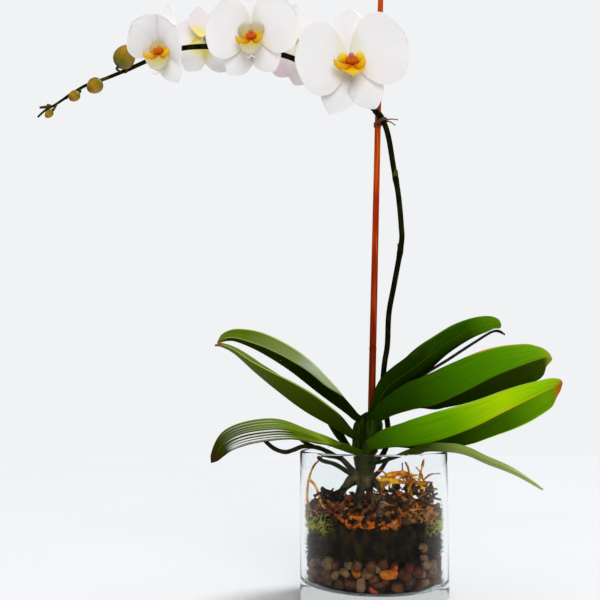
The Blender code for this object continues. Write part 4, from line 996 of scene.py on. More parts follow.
def make_cane():
    """The stained cane, smooth between two rough node rings."""
    span = CANE_TOP - CANE_FOOT
    path = [CANE_FOOT + span * i / 240 for i in range(241)]

    def radius(place, turn):
        """The cane's radius with its node rings and the grooves above them."""
        ring = sum(math.exp(-((place - node) * span.length / 1.3) ** 2) for node in CANE_NODES)
        groove = sum(math.exp(-((place - node - 0.004) * span.length / 0.8) ** 2) for node in CANE_NODES)
        wide = CANE_FOOT_RADIUS + (CANE_TOP_RADIUS - CANE_FOOT_RADIUS) * place
        return wide - 0.1 + 0.35 * ring - 0.25 * groove + 0.04 * math.cos(3 * turn)

    cane = Shape()
    cane.tube(rings_along(path, radius, 28))
    paint = Paint("cane_stain", 0.32, Specular_IOR_Level=0.04)
    height = paint.parts(paint.place())[2]
    streaks = paint.grain(60.0, 5.0, (7.0, 7.0, 0.25))
    blotches = paint.grain(14.0, 2.0)
    shade = paint.ramp(streaks, ((0.3, (112, 24, 2)), (0.5, (182, 54, 6)),
                                 (0.7, (230, 108, 26))))
    shade = paint.mix(paint.between(0.4, 0.7, blotches) * 0.4, shade, (118, 26, 8))
    for node in CANE_NODES:
        level = (CANE_FOOT.z + span.z * node) * MM
        band = paint.between(0.0032, 0.0012, (height - level).absolute())
        shade = paint.mix(band * 0.4, shade, (46, 18, 8))
    shade = paint.mix(paint.between(0.42, 0.22, height) * 0.75, shade, (88, 18, 0))
    shade = paint.mix(paint.between(0.42, 0.6, height) * 0.12, shade, (250, 110, 30))
    paint.set("Roughness", 0.26 + streaks * 0.2)
    skin = paint.skin(shade, streaks, 0.25, 0.3)
    settle(cane.build("cane_rod", skin, 60), "red_cane", "cane_stake")


def cane_centre(height):
    """The middle of the cane at a height."""
    return CANE_FOOT.lerp(CANE_TOP, (height - CANE_FOOT.z) / (CANE_TOP.z - CANE_FOOT.z))


def make_tie():
    """Raffia wound three times round the cane and the spike, with two loose ends."""
    spike_at = min(smooth_path(SPIKE_PATH, 400), key=lambda p: abs(p.z - TIE_HEIGHT))
    cane_at = cane_centre(TIE_HEIGHT)
    between = (cane_at - spike_at).xy.to_3d().normalized()
    across = Vector((-between.y, between.x, 0))
    tie = Shape()
    winding = []
    steps = 24 * TIE_TURNS
    for k in range(steps + 1):
        t = 2 * math.pi * k / 24
        centre = cane_at if math.cos(t) > 0 else spike_at
        reach = CANE_TOP_RADIUS + 0.9 + 0.25 * math.sin(5 * t)
        rise = 3.2 * (k / steps - 0.5) - 1.2 * math.cos(t)
        out = math.cos(t) * between + math.sin(t) * across
        winding.append(centre + reach * out + Vector((0, 0, rise)))
    tie.strand(winding, 190, lambda p, t: 0.8 + 0.2 * math.cos(2 * t + 9 * p), 8)
    knot = spike_at + across * (-4.2 if (spike_at - across).x > spike_at.x else 4.2)
    for far, bend in ((Vector((13, -3, 1.0)), 2.0), (Vector((10, -2, -5)), -1.0)):
        route = (knot + Vector((-1.5, 0, 0)), knot + Vector((4, -2, bend)), knot + far)
        tie.strand(route, 18, lambda p, t: 0.85 - 0.3 * p + 0.2 * math.cos(2 * t), 8)
    paint = Paint("raffia_twist", 0.8)
    fibres = paint.grain(260.0, 4.0)
    skin = paint.skin(paint.mix(fibres, (62, 22, 12), (132, 84, 60)), fibres, 0.6, 0.4)
    settle(tie.build("raffia_winding", skin, 60), "raffia", "spike_tie")


# Blooms and buds


def make_tepal(bloom, angle, size, outline, lift, cup, ripple, phase, grid):
    """One sepal or petal in its bloom's frame, fanned out at an angle round the hub."""
    length, half_width = size
    turn, rise = math.radians(angle), math.radians(cup)
    bend = -0.07 if lift < 0 else 0.03
    along = Vector((math.cos(rise) * math.cos(turn), math.cos(rise) * math.sin(turn), math.sin(rise)))
    across = Vector((-math.sin(turn), math.cos(turn), 0))
    face = along.cross(across)

    def at(place, share):
        """A point on the middle of the tepal and half of its thickness."""
        width = max(profile(outline, place) * rounded_end(place, TEPAL_ROUND), 0.01)
        reach = TEPAL_FOOT + (length - TEPAL_FOOT) * place
        arch = 3.0 * math.sin(math.pi * place) - 3.5 * place ** 2
        arch += bend * half_width * width * share ** 2
        arch += ripple * place * share * math.sin(4.0 * place * math.pi / 2 + phase)
        arch += 0.5 * ripple * place ** 2 * math.sin(7.0 * share + phase) * abs(share)
        arch -= 0.8 * math.exp(-(share / 0.06) ** 2) * (1 - place) if lift > 0 else 0.0
        spot = along * reach + across * (half_width * width * share) + face * (lift + arch)
        return spot, face * (0.5 - 0.25 * abs(share) ** 4)

    blade(bloom, tip_levels(grid[0]), grid[1], at)


def make_bloom(name, petal_finish, lip_finish):
    """One bloom: sepals, petals and column in one piece, the lip in another."""
    hub, angles, span, cup, _, petals, sepals = BLOOMS[name]
    scale = span / REFERENCE_SPAN
    bloom = Shape()
    bloom.mark = TEPAL
    for i, (angle, share) in enumerate(sepals):
        size = (SEPAL_LENGTH * scale * share, SEPAL_HALF_WIDTH * scale)
        make_tepal(bloom, angle, size, SEPAL_OUTLINE, -SEPAL_DROP * scale, cup * SEPAL_CUP_SHARE,
                   SEPAL_RIPPLE, i, SEPAL_GRID)
    for i, (angle, share) in enumerate(petals):
        size = (PETAL_LENGTH * scale * share, PETAL_HALF_WIDTH * scale)
        make_tepal(bloom, angle, size, PETAL_OUTLINE, SEPAL_DROP * scale, cup,
                   PETAL_RIPPLE, 2 * i + 0.5, PETAL_GRID)
    bloom.mark = COLUMN
    bloom.strand([Vector(p) * scale for p in COLUMN_ROUTE], 26,
                 lambda p, t: profile(COLUMN_OUTLINE, p) * scale, 18)
    bloom.mark = COLUMN_TIP
    bloom.strand([Vector(p) * scale for p in CAP_ROUTE], 10,
                 lambda p, t: (0.6 + 2.2 * math.sin(math.pi * (0.15 + 0.8 * p))) * scale, 14)
    turn = bloom_turn(angles)
    tepals = bloom.build(name + "_tepals", petal_finish, 60, turn, hub)
    settle(tepals, "petal_white", name + "_petals")
    lip = make_lip(name in HOODED, max(scale, SMALLEST_LIP))
    settle(lip.build(name + "_labellum", lip_finish, 60, turn, hub), "lip_yellow", name + "_lip")


def spoon(shape, root, along, across, size, curl):
    """A cupped lobe: it runs along, is widest past its middle and curls at its edges and tip."""
    length, half_width = size
    face = along.cross(across).normalized()

    def at(place, share):
        """A point on the middle of the lobe and half of its thickness."""
        width = profile(SPOON_OUTLINE, place) * rounded_end(place, 0.35)
        spot = root + along * (length * place) + across * (half_width * max(width, 0.03) * share)
        return spot + face * (curl * (0.5 * share ** 2 + 0.6 * place ** 2)), face * 0.45

    blade(shape, tip_levels(14), 10, at)


def make_lip(is_hooded, scale):
    """The lip: side lobes, horns, a spotted callus, a middle lobe and, under a hood, two tendrils."""
    lip = Shape()
    size = scale * 1.15
    root = Vector((0, -3.5, 9.0)) * scale
    for side in (-1, 1):
        lip.mark = HOOD if is_hooded else YELLOW_LOBE
        lean = 0.10 if is_hooded else 0.5
        along = Vector((side * lean, 0.94, 0.16)).normalized()
        across = Vector((0.94, -lean * side, 0.0)).normalized()
        start = root + Vector((side * (4.9 if is_hooded else 5.2), -3.0, 2.5)) * scale
        reach = (16.5 * size, 7.9 * size) if is_hooded else (10.0 * size, 4.2 * size)
        spoon(lip, start, along, across, reach, (4.6 if is_hooded else 3.4) * size)
        lip.mark = HORN
        far = 1.0 if side < 0 else 0.68
        bow = [root + Vector(p) * size for p in ((side * 2, -5.0, 3.0), (side * 8 * far, -6.5, 5.0),
                                                 (side * 13 * far, -3.6, 5.4), (side * 15 * far, 0.6, 4.6))]
        lip.strand(bow, 20, lambda p, t: profile(HORN_OUTLINE, p) * size, 12)
    lip.mark = PALE_LOBE if is_hooded else YELLOW_LOBE
    down = Vector((0, -0.86, 0.51))
    face = Vector((0, 0.51, 0.86))
    length, outline = HOODED_LOBE if is_hooded else OPEN_LOBE

    def middle_lobe(place, share):
        """A point on the middle of the lobe and half of its thickness."""
        width = profile(outline, place) * rounded_end(place, 0.2) * size + 0.1
        lift = 2.6 * share ** 2 - 1.4 * place + 0.3 * math.cos(6 * share)
        spot = root + down * ((3 + length * place) * size) + Vector((width * share, 0, 0))
        return spot + face * (lift * size), face * 0.6

    blade(lip, [r / 20 for r in range(21)], 8, middle_lobe)
    lip.mark = CALLUS
    for side in (-1, 0, 1):
        bump = [root + Vector(p) * size for p in ((side * 2.2, 0.6, 0.5), (side * 2.8, -0.6, 4.5),
                                                  (side * 2.2, -3.4, 6.4))]
        lip.strand(bump, 12, lambda p, t: (0.8 + 1.8 * math.sin(math.pi * (0.1 + 0.8 * p))) * size, 12)
    if is_hooded:
        lip.mark = TENDRIL
        for side in (-1, 1):
            tip = root + down * ((2.4 + length) * size) - face * (1.2 * size)
            curl = [tip + Vector(p) * size for p in ((0, 0, 0), (side * 2.5, -2.5, 1.5),
                                                     (side * 4.5, -2.5, 3.0), (side * 4.5, -0.5, 4.0))]
            lip.strand(curl, 18, lambda p, t: (0.9 - 0.6 * p) * size, 8)
    return lip


def petal_paint(name, glow, blush):
    """White petals with faint veins and a warm throat; glow and blush tint the turned ones."""
    paint = Paint(name, 0.55, Subsurface_Weight=0.3, Subsurface_Scale=0.003, Specular_IOR_Level=0.25,
                  Subsurface_Radius=(1.0, 0.9, 0.85))
    across, along = paint.uv()
    mottle = paint.grain(80.0)
    wash = paint.between(0.42, 0.66, paint.grain(26.0, 1.5))
    veins = paint.between(0.3, 1.0, (across * 120.0 + mottle * 9.0).sine())
    shade = paint.mix(veins * 0.04, (252, 250, 248), (216, 204, 208))
    shade = paint.mix(wash * blush, shade, (232, 196, 212))
    shade = paint.mix(paint.between(0.34, 0.08, along) * 0.5, shade, (240, 232, 180))
    shade = paint.mix(paint.between(0.72, 0.30, along + mottle * 0.2) * glow, shade, (242, 222, 96))
    column = paint.mix(mottle, (250, 236, 232), (222, 180, 190))
    column_tip = paint.mix(mottle, (220, 140, 150), (190, 90, 60))
    shade = paint.mix(paint.is_mark(COLUMN), shade, column)
    shade = paint.mix(paint.is_mark(COLUMN_TIP), shade, column_tip)
    return paint.skin(shade, veins + mottle, 0.12, 0.3)


def lip_paint():
    """Yellow lip with an orange-red spotted heart, beige hood and pale middle lobe."""
    paint = Paint("lip_skin", 0.45, Subsurface_Weight=0.15, Subsurface_Scale=0.002, Specular_IOR_Level=0.25)
    across, along = paint.uv()
    mottle = paint.grain(300.0, 3.0)
    spots = paint.between(0.42, 0.30, paint.cells(620.0) + mottle * 0.2)
    stripes = paint.between(0.2, 0.9, (across * 44.0 + mottle * 3.0).sine())
    hood = paint.ramp(along, ((0.0, (216, 120, 4)), (0.2, (244, 196, 20)),
                              (0.42, (214, 194, 116)), (0.75, (206, 198, 172)),
                              (1.0, (232, 226, 210))))
    hood = paint.mix(stripes * 0.16, hood, (140, 110, 70))
    yellow = paint.ramp(along, ((0.0, (190, 50, 2)), (0.25, (236, 150, 2)),
                                (0.6, (250, 210, 10)), (1.0, (248, 224, 80))))
    yellow = paint.mix(spots * paint.between(0.7, 0.2, along), yellow, (180, 50, 2))
    pale = paint.ramp(along, ((0.0, (236, 150, 4)), (0.2, (244, 206, 20)),
                              (0.36, (214, 200, 110)), (0.7, (214, 208, 170)),
                              (1.0, (232, 226, 206))))
    horn = paint.ramp(along, ((0.0, (210, 90, 2)), (0.4, (240, 170, 6)),
                              (0.75, (244, 196, 12)), (1.0, (226, 170, 20))))
    callus = paint.mix(spots, (222, 100, 4), (158, 34, 2))
    shade = hood
    for mark, colour in ((YELLOW_LOBE, yellow), (PALE_LOBE, pale), (HORN, horn), (CALLUS, callus),
                         (TENDRIL, (246, 240, 226))):
        shade = paint.mix(paint.is_mark(mark), shade, colour)
    return paint.skin(shade, mottle + spots * 0.5, 0.25, 0.3)


def make_bud(name, material):
    """A closed bud of three overlapping sepals, blunt at its stalk and drawn out at its tip."""
    centre, axis, half, radius, _ = BUDS[name]
    turn = Vector((0, 0, 1)).rotation_difference(Vector(axis)).to_matrix()

    def at(angle, t):
        """A point of the bud, whose three seams lean as they climb."""
        height = -math.cos(angle)
        seam = 1 - 0.055 * math.exp(-(math.sin(1.5 * t + 0.8 * height) / 0.22) ** 2)
        wide = radius * seam * math.sin(angle) * (1.0 - BUD_TAPER * (height + 1))
        return turn @ Vector((wide * math.cos(t), wide * math.sin(t), half * height))

    bud = Shape()
    bud.tube(lathe([math.pi * (0.03 + 0.94 * r / 22) for r in range(23)], 36, at))
    settle(bud.build(name + "_sepals", material, 70, None, centre), "bud_olive", name)


def bud_paint():
    """Golden olive sepals, greener and darker to the foot, with fine veins."""
    paint = Paint("bud_skin", 0.36, Specular_IOR_Level=0.35)
    across, along = paint.uv()
    mottle = paint.grain(160.0, 4.0)
    lines = paint.between(0.3, 1.0, (across * 150.0 + mottle * 4.0).sine())
    shade = paint.ramp(along + mottle * 0.3 - 0.15,
                       ((0.05, (66, 68, 4)), (0.35, (132, 116, 6)), (0.65, (182, 138, 16)),
                        (0.95, (126, 70, 14))))
    shade = paint.mix(lines * 0.25, shade, (60, 44, 4))
    seam = paint.between(0.06, 0.02, ((across * 3.0 + 0.1).maths("FRACT") - 0.5).absolute())
    shade = paint.mix(seam * 0.3, shade, (84, 60, 10))
    return paint.skin(shade, lines + mottle, 0.3, 0.3)


# Roots


def make_tubes(name, material, slot, node, strands, rng, wobble, sides=12, extra=None):
    """Round strands along their routes, a little knobbly."""
    shape = Shape()
    for route, start, end in strands:
        length = sum((Vector(b) - Vector(a)).length for a, b in zip(route, route[1:]))
        phase = rng.uniform(0, 6)
        knobs = [rng.uniform(0.0, 1.0) for _ in range(3)]

        def radius(place, turn):
            """A tapered strand's radius with its waves and knobs."""
            wide = start + (end - start) * place
            knob = sum(math.exp(-((place - at) / 0.05) ** 2) for at in knobs)
            wave = math.sin(2 * turn + phase + place * 7) + math.sin(place * length * 0.5 + phase)
            return wide * (1 + wobble * (0.5 * wave + knob)) * rounded_end(place, 0.04) + 0.02

        shape.strand(route, max(12, round(length / 1.4)), radius, sides)
    if extra:
        extra(shape)
    return settle(shape.build(name, material, 60), slot, node)


def root_crown(shape):
    """The knob from which the roots leave the stem."""
    def at(place, t):
        """A point of the knob, lobed like the roots that leave it."""
        wide = profile(CROWN_OUTLINE, place) + 0.5 * math.cos(5 * t + 4 * place)
        return Vector((-8 + wide * math.cos(t), wide * math.sin(t), 108 + 19.6 * place))

    shape.tube(lathe([r / 16 for r in range(17)], 28, at))


def tangle(shape):
    """Short dried twigs that cross each other over the bark at the right."""
    rng = random.Random(52)
    for _ in range(26):
        spot = Vector((rng.uniform(4, 56), rng.uniform(-30, -14), rng.uniform(112, 129)))
        swing = rng.uniform(-0.5, 0.5) if rng.random() < 0.7 else rng.uniform(0.8, 2.2)
        reach = Vector((math.cos(swing), rng.uniform(-0.4, 0.4), math.sin(swing))) * rng.uniform(4, 10)
        sag = Vector((rng.uniform(-2, 2), 0, rng.uniform(-2.5, 2.5)))
        girth = rng.uniform(0.45, 1.5)

        def radius(place, turn):
            """The twig's radius, thickest before its middle and a little twisted."""
            return girth * (1.1 - 0.7 * abs(place - 0.4)) * (1 + 0.25 * math.sin(9 * place + 2 * turn))

        shape.strand((spot - reach, spot + sag, spot + reach), 12, radius, 7)


def make_roots():
    """Living roots in grey-brown skin, dried ones in orange."""
    paint = Paint("root_velamen", 0.62, Specular_IOR_Level=0.02)
    streaks = paint.grain(90.0, 5.0, (1.0, 1.0, 0.5))
    height = paint.parts(paint.place())[2]
    patches = paint.between(0.45, 0.62, paint.grain(35.0, 3.0))
    shade = paint.mix(paint.between(0.35, 0.7, streaks), (34, 27, 12), (112, 98, 64))
    shade = paint.mix(patches * 0.6, shade, (44, 50, 12))
    shade = paint.mix(paint.between(0.114, 0.132, height) * 0.75, shade, (24, 28, 8))
    make_tubes("root_strands", paint.skin(shade, streaks, 0.5, 0.6), "root_skin", "plant_roots",
               ROOTS + AERIAL_ROOTS, random.Random(21), 0.07, 16, root_crown)
    dry = Paint("dried_root_skin", 0.55, Specular_IOR_Level=0.05)
    fibres = dry.grain(170.0, 4.0)
    husk = dry.between(0.50, 0.62, dry.grain(70.0, 3.0))
    shade = dry.ramp(fibres, ((0.3, (200, 84, 4)), (0.48, (246, 150, 10)),
                              (0.66, (254, 214, 70))))
    shade = dry.mix(husk * 0.7, shade, (120, 52, 16))
    husky = dry.skin(shade, fibres, 0.6, 0.5)
    make_tubes("dried_strands_left", husky, "dried_root", "dry_roots_left", DRY_ROOTS_LEFT,
               random.Random(22), 0.1)
    make_tubes("dried_strands_right", husky, "dried_root", "dry_roots_right", DRY_ROOTS_RIGHT,
               random.Random(23), 0.3, 12, tangle)


# Filling


def pebble_line(angle):
    """Height of the boundary between pebbles and moss round the vase."""
    return 52.0 + 3.0 * math.sin(angle + 0.5) + 2.0 * math.cos(3 * angle)


def moss_line(angle):
    """Height of the boundary between moss and bark round the vase."""
    return 83.0 + 3.5 * math.cos(2 * angle) + 1.5 * math.sin(5 * angle + 1.0)


def bark_line(angle):
    """Height of the bark's edge round the vase."""
    return 94.0 + 2.0 * math.sin(angle - 0.6) + 1.5 * math.cos(4 * angle)


def drum(rows, marked):
    """A closed body round the vase's axis through rows of radius and height; marked rows grow cover."""
    def at(row, t):
        """A point of a row, whose radius and height may change with the turn."""
        radius, height = (item(t) if callable(item) else item for item in row)
        return Vector((radius * math.cos(t), radius * math.sin(t), height))

    shape = Shape()
    shape.tube(lathe(rows, FILL_STEPS, at))
    shape.marks = [1.0 if index // FILL_STEPS in marked else 0.0 for index in range(len(shape.faces))]
    return shape


def cover(bed, name, piece, sizes, shares, lean, unevenness, skin, is_smooth):
    """Grow copies of a piece over a bed's marked faces, with its sizes as the tree's inputs."""
    growth = Growth(name)
    spacing, seed, size = (growth.size(label, value) for label, value in sizes)
    kind, measures = piece
    scale = growth.add("ShaderNodeVectorMath", {"operation": "SCALE"}, Vector=growth.random(*shares),
                       Scale=size)
    copies = growth.scatter(growth.add(kind, **measures), spacing, scale, seed, lean)
    rough = growth.ruffle(copies, *unevenness)
    growth.grow(bed, growth.both(growth.start.outputs["Geometry"], rough), skin, is_smooth)
    keep_inside(bed, FILL_RADIUS - 0.1, VASE_BASE + FLOOR_GAP)


def stone(shape, spot, turn, size, seed):
    """One smooth river stone, a squashed ball with a gentle lump or two."""
    def at(angle, t):
        """A point of the stone."""
        lump = 1 + 0.08 * math.sin(2 * t + seed) + 0.06 * math.cos(3 * t + 2 * angle + seed)
        wide = math.sin(angle) * lump
        return turn @ Vector((size[0] * wide * math.cos(t), size[1] * wide * math.sin(t),
                              -size[2] * math.cos(angle))) + spot

    shape.tube(lathe([math.pi * (0.04 + 0.92 * r / 8) for r in range(9)], 14, at))


def make_pebbles():
    """River pebbles packed round the glass, and the same stones scattered on a bed painted near-black as
    the shade between them.
    """
    skin = pebble_paint()
    foot = VASE_BASE + GAP
    rows = ((58.0, foot), (62.0, foot), (64.5, foot + 3.0), (65.0, lambda t: pebble_line(t) - 5.0),
            (58.0, lambda t: pebble_line(t) - 3.5))
    bed = drum(rows, (1, 2)).build("pebble_stones", None)
    cover(bed, "packed_pebbles", ("GeometryNodeMeshIcoSphere", {"Radius": 1.0, "Subdivisions": 2}),
          (("Spacing", 8.6 * MM), ("Seed", 4), ("Stone Size", 6.2 * MM)),
          ((0.72, 0.62, 0.62), (1.25, 0.95, 0.85), 6), 0.35, (90.0, 2.6 * MM), skin, True)
    settle(bed, "river_pebbles", "pebble_bed")
    show = Shape()
    rng = random.Random(12)
    out = FILL_RADIUS - STONE_DEPTH - 0.2
    for index, (across, height, half_width, half_height, shade) in enumerate(FRONT_STONES):
        angle = -math.acos(across / out)
        spot = Vector((out * math.cos(angle), out * math.sin(angle), height))
        turn = Matrix.Rotation(angle, 3, "Z") @ Matrix.Rotation(rng.uniform(-0.3, 0.3), 3, "X")
        stone(show, spot, turn, (STONE_DEPTH, half_width, half_height), index)
        show.tone_rest(shade)
    front = show.build("front_stones", skin, 80)
    keep_inside(front, FILL_RADIUS - 0.05, VASE_BASE + FLOOR_GAP)
    settle(front, "river_pebbles")


def keep_inside(obj, radius, floor):
    """Press whatever stands out of the glass back to its inner side and its base."""
    for vertex in obj.data.vertices:
        spot = vertex.co
        out = math.hypot(spot.x, spot.y) / MM
        if out > radius:
            spot.x *= radius / out
            spot.y *= radius / out
        spot.z = max(spot.z, floor * MM)


def pebble_paint():
    """Smooth stones in brown, maroon, tan, olive, orange, brick and grey-black."""
    paint = Paint("pebble_skin", 0.35, Specular_IOR_Level=0.1)
    pick = paint.attribute("tone")
    mottle = paint.grain(240.0, 4.0)
    bands = paint.between(0.4, 0.6, paint.grain(60.0, 3.0, (1.0, 1.0, 3.0)))
    shade = paint.ramp(pick, ((0.0, (22, 15, 12)), (0.14, (58, 24, 14)), (0.27, (86, 48, 26)),
                              (0.39, (120, 96, 60)), (0.49, (98, 50, 22)), (0.58, (142, 104, 74)),
                              (0.66, (214, 116, 22)), (0.73, (80, 28, 14)), (0.84, (200, 70, 24)),
                              (0.9, (42, 34, 28))), True)
    shade = paint.mix(paint.between(0.3, 0.7, mottle) * 0.6, shade, (34, 18, 8))
    shade = paint.mix(bands * 0.14, shade, (176, 108, 50))
    # The bare bed, of tone 0, is painted near-black as painted shade in the gaps between the stones.
    shade = paint.mix(pick.above(0.001), (14, 9, 6), shade)
    paint.set("Roughness", 0.25 + mottle * 0.3)
    return paint.skin(shade, mottle, 0.2, 0.4)


def make_moss():
    """Packed dark moss with short tufts all over its side and top edge."""
    skin = moss_paint()
    rows = [(60.0, lambda t: pebble_line(t) + GAP), (66.0, lambda t: pebble_line(t) + GAP)]
    for share in (0.25, 0.5, 0.75):
        rows.append((lambda t, s=share: 66.5 + 1.2 * math.sin(11 * t + 17 * s),
                     lambda t, s=share: pebble_line(t) * (1 - s) + moss_line(t) * s))
    rows += [(67.0, moss_line), (60.0, moss_line)]
    layer = drum(rows, (1, 2, 3, 4)).build("moss_tufts", None)
    cover(layer, "moss_cover", ("GeometryNodeMeshCone", {"Vertices": 3, "Radius_Top": 0.0,
                                                         "Radius_Bottom": 0.55 * MM, "Depth": 6.0 * MM}),
          (("Spacing", 1.9 * MM), ("Seed", 8), ("Strand Size", 1.0)),
          ((0.7, 0.7, 0.5), (1.3, 1.3, 1.2), 2), 1.45, (260.0, 2.0 * MM), skin, True)
    settle(layer, "dark_moss", "moss_layer")
    rng = random.Random(44)
    fringe = Shape()
    for index in range(760):
        angle = rng.uniform(0, 2 * math.pi)
        side = abs(math.cos(angle)) > 0.62 and index % 4
        low, high = moss_line(angle) - 12, moss_line(angle) + 8
        if not side:
            low, high = pebble_line(angle) - 3, pebble_line(angle) + 10
        out = rng.uniform(66.0, 70.6)
        spot = Vector((out * math.cos(angle), out * math.sin(angle), rng.uniform(low, high)))
        curled_crumb(fringe, spot, rng.uniform(1.6, 4.2), rng.uniform(0.8, 3.2), rng.uniform(0.3, 0.6), rng)
        fringe.tone_rest(rng.uniform(0.5, 1.0) if side else rng.uniform(0.0, 0.6))
    tufts = fringe.build("moss_fringe", skin, 80)
    keep_inside(tufts, FILL_RADIUS - 0.05, VASE_BASE)
    settle(tufts, "dark_moss")


def moss_paint():
    """Blackish brown moss, with yellow-green painted light on it where it stands up at the sides."""
    paint = Paint("moss_strands", 0.85, Specular_IOR_Level=0.0)
    across, _, height = paint.parts(paint.place())
    mottle = paint.grain(150.0, 5.0, (1.0, 1.0, 0.5))
    fine = paint.grain(300.0, 3.0)
    pick = paint.attribute("tone")
    shade = paint.mix(paint.between(0.4, 0.7, mottle), (8, 6, 2), (60, 46, 14))
    shade = paint.mix(paint.between(0.5, 1.0, pick) * 0.7, shade, (84, 76, 22))
    # lit: yellow-green painted light on the moss's upper part at the left and right sides.
    lit = paint.between(0.064, 0.076, height) * paint.between(0.040, 0.058, across.absolute())
    shade = paint.mix(lit * paint.between(0.1, 0.7, pick), shade, (214, 208, 36))
    return paint.skin(paint.mix(fine * 0.4, shade, (14, 10, 4)), fine + mottle, 0.8, 1.0)


def make_bark(skin):
    """Chips of fir bark heaped on a bed painted dark as the shade between them."""
    foot = GAP + 0.6
    rows = ((60.0, lambda t: moss_line(t) + foot), (68.0, lambda t: moss_line(t) + foot),
            (68.0, lambda t: (moss_line(t) + bark_line(t)) / 2), (66.0, lambda t: bark_line(t) - 3.0),
            (52.0, lambda t: bark_line(t) - 1.0), (32.0, lambda t: bark_line(t) + 0.5),
            (10.0, lambda t: bark_line(t) + 1.0))
    heap = drum(rows, (1, 2, 3, 4, 5)).build("bark_chips", None)
    cover(heap, "bark_cover", ("GeometryNodeMeshCube", {"Size": (8.5, 4.6, 2.4), "Vertices_X": 4,
                                                        "Vertices_Y": 3, "Vertices_Z": 2}),
          (("Spacing", 3.4 * MM), ("Seed", 3), ("Chip Size", 1.0 * MM)),
          ((0.35, 0.35, 0.4), (1.25, 1.25, 1.4), 5), 0.75, (260.0, 4.6 * MM), skin, False)
    settle(heap, "orchid_bark", "bark_mix")


def bark_paint():
    """Orange-brown, tan and near-black bark, rough and fibrous."""
    paint = Paint("bark_skin", 0.8, Specular_IOR_Level=0.0)
    pick = paint.attribute("tone")
    fibres = paint.grain(90.0, 5.0, (1.0, 3.0, 1.0))
    across = paint.parts(paint.place())[0]
    shade = paint.ramp(pick, ((0.0, (18, 11, 6)), (0.22, (62, 32, 12)), (0.38, (120, 58, 20)),
                              (0.5, (34, 21, 11)), (0.62, (160, 100, 48)), (0.72, (92, 50, 18)),
                              (0.82, (214, 104, 20)), (0.94, (206, 160, 96))), True)
    shade = paint.mix(paint.between(0.35, 0.75, fibres) * 0.6, shade, (34, 18, 10))
    shade = paint.mix(paint.between(0.0, 0.05, across) * 0.12, shade, (200, 160, 90))
    # The bare bed, of tone 0, is painted near-black as painted shade in the gaps between the chips.
    shade = paint.mix(pick.above(0.001), (20, 12, 7), shade)
    return paint.skin(shade, fibres, 0.7, 0.8)


def curled_crumb(shape, spot, reach, bend, radius, rng):
    """One short curled strip of dried root or bark skin."""
    turn = Euler((rng.uniform(-0.9, 0.9), rng.uniform(-0.9, 0.9), rng.uniform(0, 6.3))).to_matrix()
    route = []
    for k in range(6):
        t = bend * (k / 5 - 0.5)
        curl = Vector((math.sin(t), math.cos(t) - 1, 0)) * (2 * reach / bend)
        route.append(spot + turn @ (curl + Vector((0, 0, k * 0.4))))
    shape.strand(route, 9, lambda p, t: radius * (0.6 + 0.5 * abs(math.cos(t))), 6)


def make_crumbs(skin):
    """Curled dry bits that stand on the bark, dark at the left and tan at the right."""
    rng = random.Random(31)
    crumbs = Shape()
    for middle, reach, count, share, (low, high) in CRUMB_HEAPS:
        for _ in range(count):
            spot = Vector([m + rng.uniform(-r, r) for m, r in zip(middle, reach)])
            curled_crumb(crumbs, spot, share * rng.uniform(3, 7), rng.uniform(1.2, 4.5),
                         share * rng.uniform(0.6, 1.5), rng)
            crumbs.tone_rest(rng.uniform(low, high))
    piece = crumbs.build("bark_crumbs", skin, 60)
    keep_inside(piece, FILL_RADIUS - 0.1, VASE_BASE)
    settle(piece, "orchid_bark")


# Vase


def arc(across, height, radius, first, last, count):
    """Points of an arc as radius and height, its ends in degrees."""
    turns = [math.radians(first + (last - first) * k / (count - 1)) for k in range(count)]
    return [(across + radius * math.cos(t), height + radius * math.sin(t)) for t in turns]


def make_vase():
    """A clear glass cylinder with a thick base, a rounded inner corner and a round lip."""
    inner = VASE_RADIUS - VASE_WALL
    bevel, lip, corner = VASE_FOOT_BEVEL, VASE_WALL / 2, VASE_INNER_ROUND
    outline = arc(VASE_RADIUS - bevel, bevel, bevel, -90, 0, 7)
    outline += [(VASE_RADIUS, height) for height in (20.0, 60.0, 100.0)]
    outline += arc(VASE_RADIUS - lip, VASE_HEIGHT - lip, lip, 0, 180, 11)
    outline += [(inner, height) for height in (110.0, 60.0)]
    outline += arc(inner - corner, VASE_BASE + corner, corner, 0, -90, 11)
    vase = Shape()
    vase.tube(lathe(outline, VASE_SIDES,
                     lambda line, t: Vector((line[0] * math.cos(t), line[0] * math.sin(t), line[1]))))
    paint = Paint("vase_glass", 0.0, Transmission_Weight=1.0, IOR=1.2)
    paint.set("Base Color", paint.mix(paint.grain(6.0), (252, 254, 254), (246, 250, 250)))
    paint.set("Roughness", paint.between(0.7, 0.9, paint.grain(30.0)) * 0.03)
    settle(vase.build("vase_cylinder", paint.material, 35), "clear_glass", "glass_vase")


# Stage


def sun(name, direction, strength, spread, is_glossy):
    """Even light from far away, soft at the edge of its shadows."""
    lamp = bpy.data.lights.new(name, "SUN")
    lamp.energy = strength
    lamp.angle = math.radians(spread)
    holder = bpy.data.objects.new(name, lamp)
    holder.visible_glossy = is_glossy
    holder.rotation_euler = Vector(direction).to_track_quat("Z", "Y").to_euler()
    bpy.context.scene.collection.objects.link(holder)


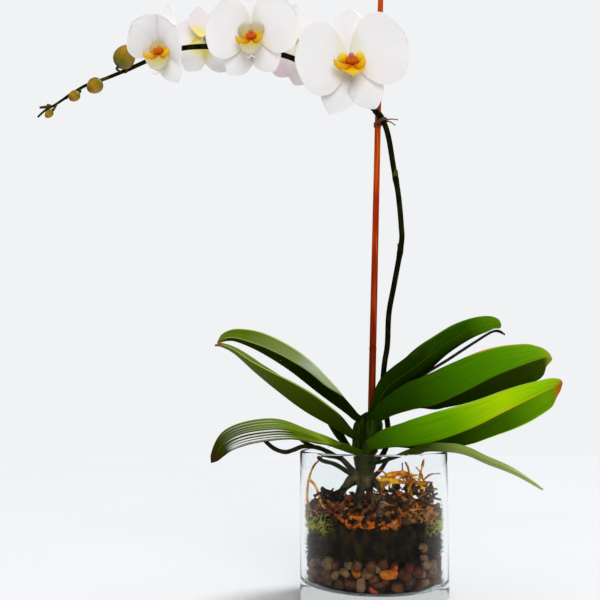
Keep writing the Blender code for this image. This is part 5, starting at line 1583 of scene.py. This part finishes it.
def set_stage():
    """A plain pale floor, soft lights and the camera at the photo's angle."""
    mesh = bpy.data.meshes.new("floor")
    mesh.from_pydata([(-6, -0.12, 0), (6, -0.12, 0), (6, 2.33, 0), (-6, 2.33, 0)], [], [(0, 1, 2, 3)])
    floor = bpy.data.objects.new("floor", mesh)
    floor.location.z = -0.0005
    paint = Paint("floor_board", 0.6)
    paint.set("Base Color", paint.mix(paint.grain(3.0), (240, 241, 244), (246, 247, 249)))
    mesh.materials.append(paint.material)
    bpy.context.scene.collection.objects.link(floor)
    world = bpy.data.worlds.new("studio")
    world.use_nodes = True
    tree = world.node_tree
    sky = tree.nodes["Background"]
    sky.inputs["Color"].default_value = tone(241, 242, 244)
    path = tree.nodes.new("ShaderNodeLightPath")
    seen, through, glossy = (Value(tree, path.outputs["Is " + kind + " Ray"])
                             for kind in ("Camera", "Transmission", "Glossy"))
    plug(tree, sky.inputs["Strength"], seen.maths("MAXIMUM", through) * (1.0 - SKY_LIGHT) + SKY_LIGHT
         - glossy * (SKY_LIGHT - SKY_SHEEN))
    bpy.context.scene.world = world
    bpy.context.scene.view_settings.view_transform = "Standard"
    sun("key", (0.6, 0.3, 1.0), 2.1, 20, True)
    sun("fill", (0.1, -1.0, 0.25), 1.5, 45, False)
    camera = bpy.data.cameras.new("camera")
    camera.sensor_width = 36.0
    camera.lens = CAMERA_LENS
    camera.shift_y = CAMERA_SHIFT
    viewer = bpy.data.objects.new("camera", camera)
    viewer.location = CAMERA_SPOT
    viewer.rotation_euler = (math.radians(90 + CAMERA_TILT), 0, 0)
    bpy.context.scene.collection.objects.link(viewer)
    bpy.context.scene.camera = viewer


def build():
    """Every piece of the orchid and its stage."""
    make_leaves()
    make_stem()
    make_spike()
    make_cane()
    make_tie()
    lips, buds = lip_paint(), bud_paint()
    facing = petal_paint("petal_skin", 0.0, 0.12)
    turned = {"bloom_2": petal_paint("yellow_back_skin", 0.8, 0.3),
              "bloom_4": petal_paint("pink_back_skin", 0.2, 0.6)}
    for name in BLOOMS:
        make_bloom(name, turned.get(name, facing), lips)
    for name in BUDS:
        make_bud(name, buds)
    make_roots()
    make_pebbles()
    make_moss()
    bark = bark_paint()
    make_bark(bark)
    make_crumbs(bark)
    make_vase()
    set_stage()


build()
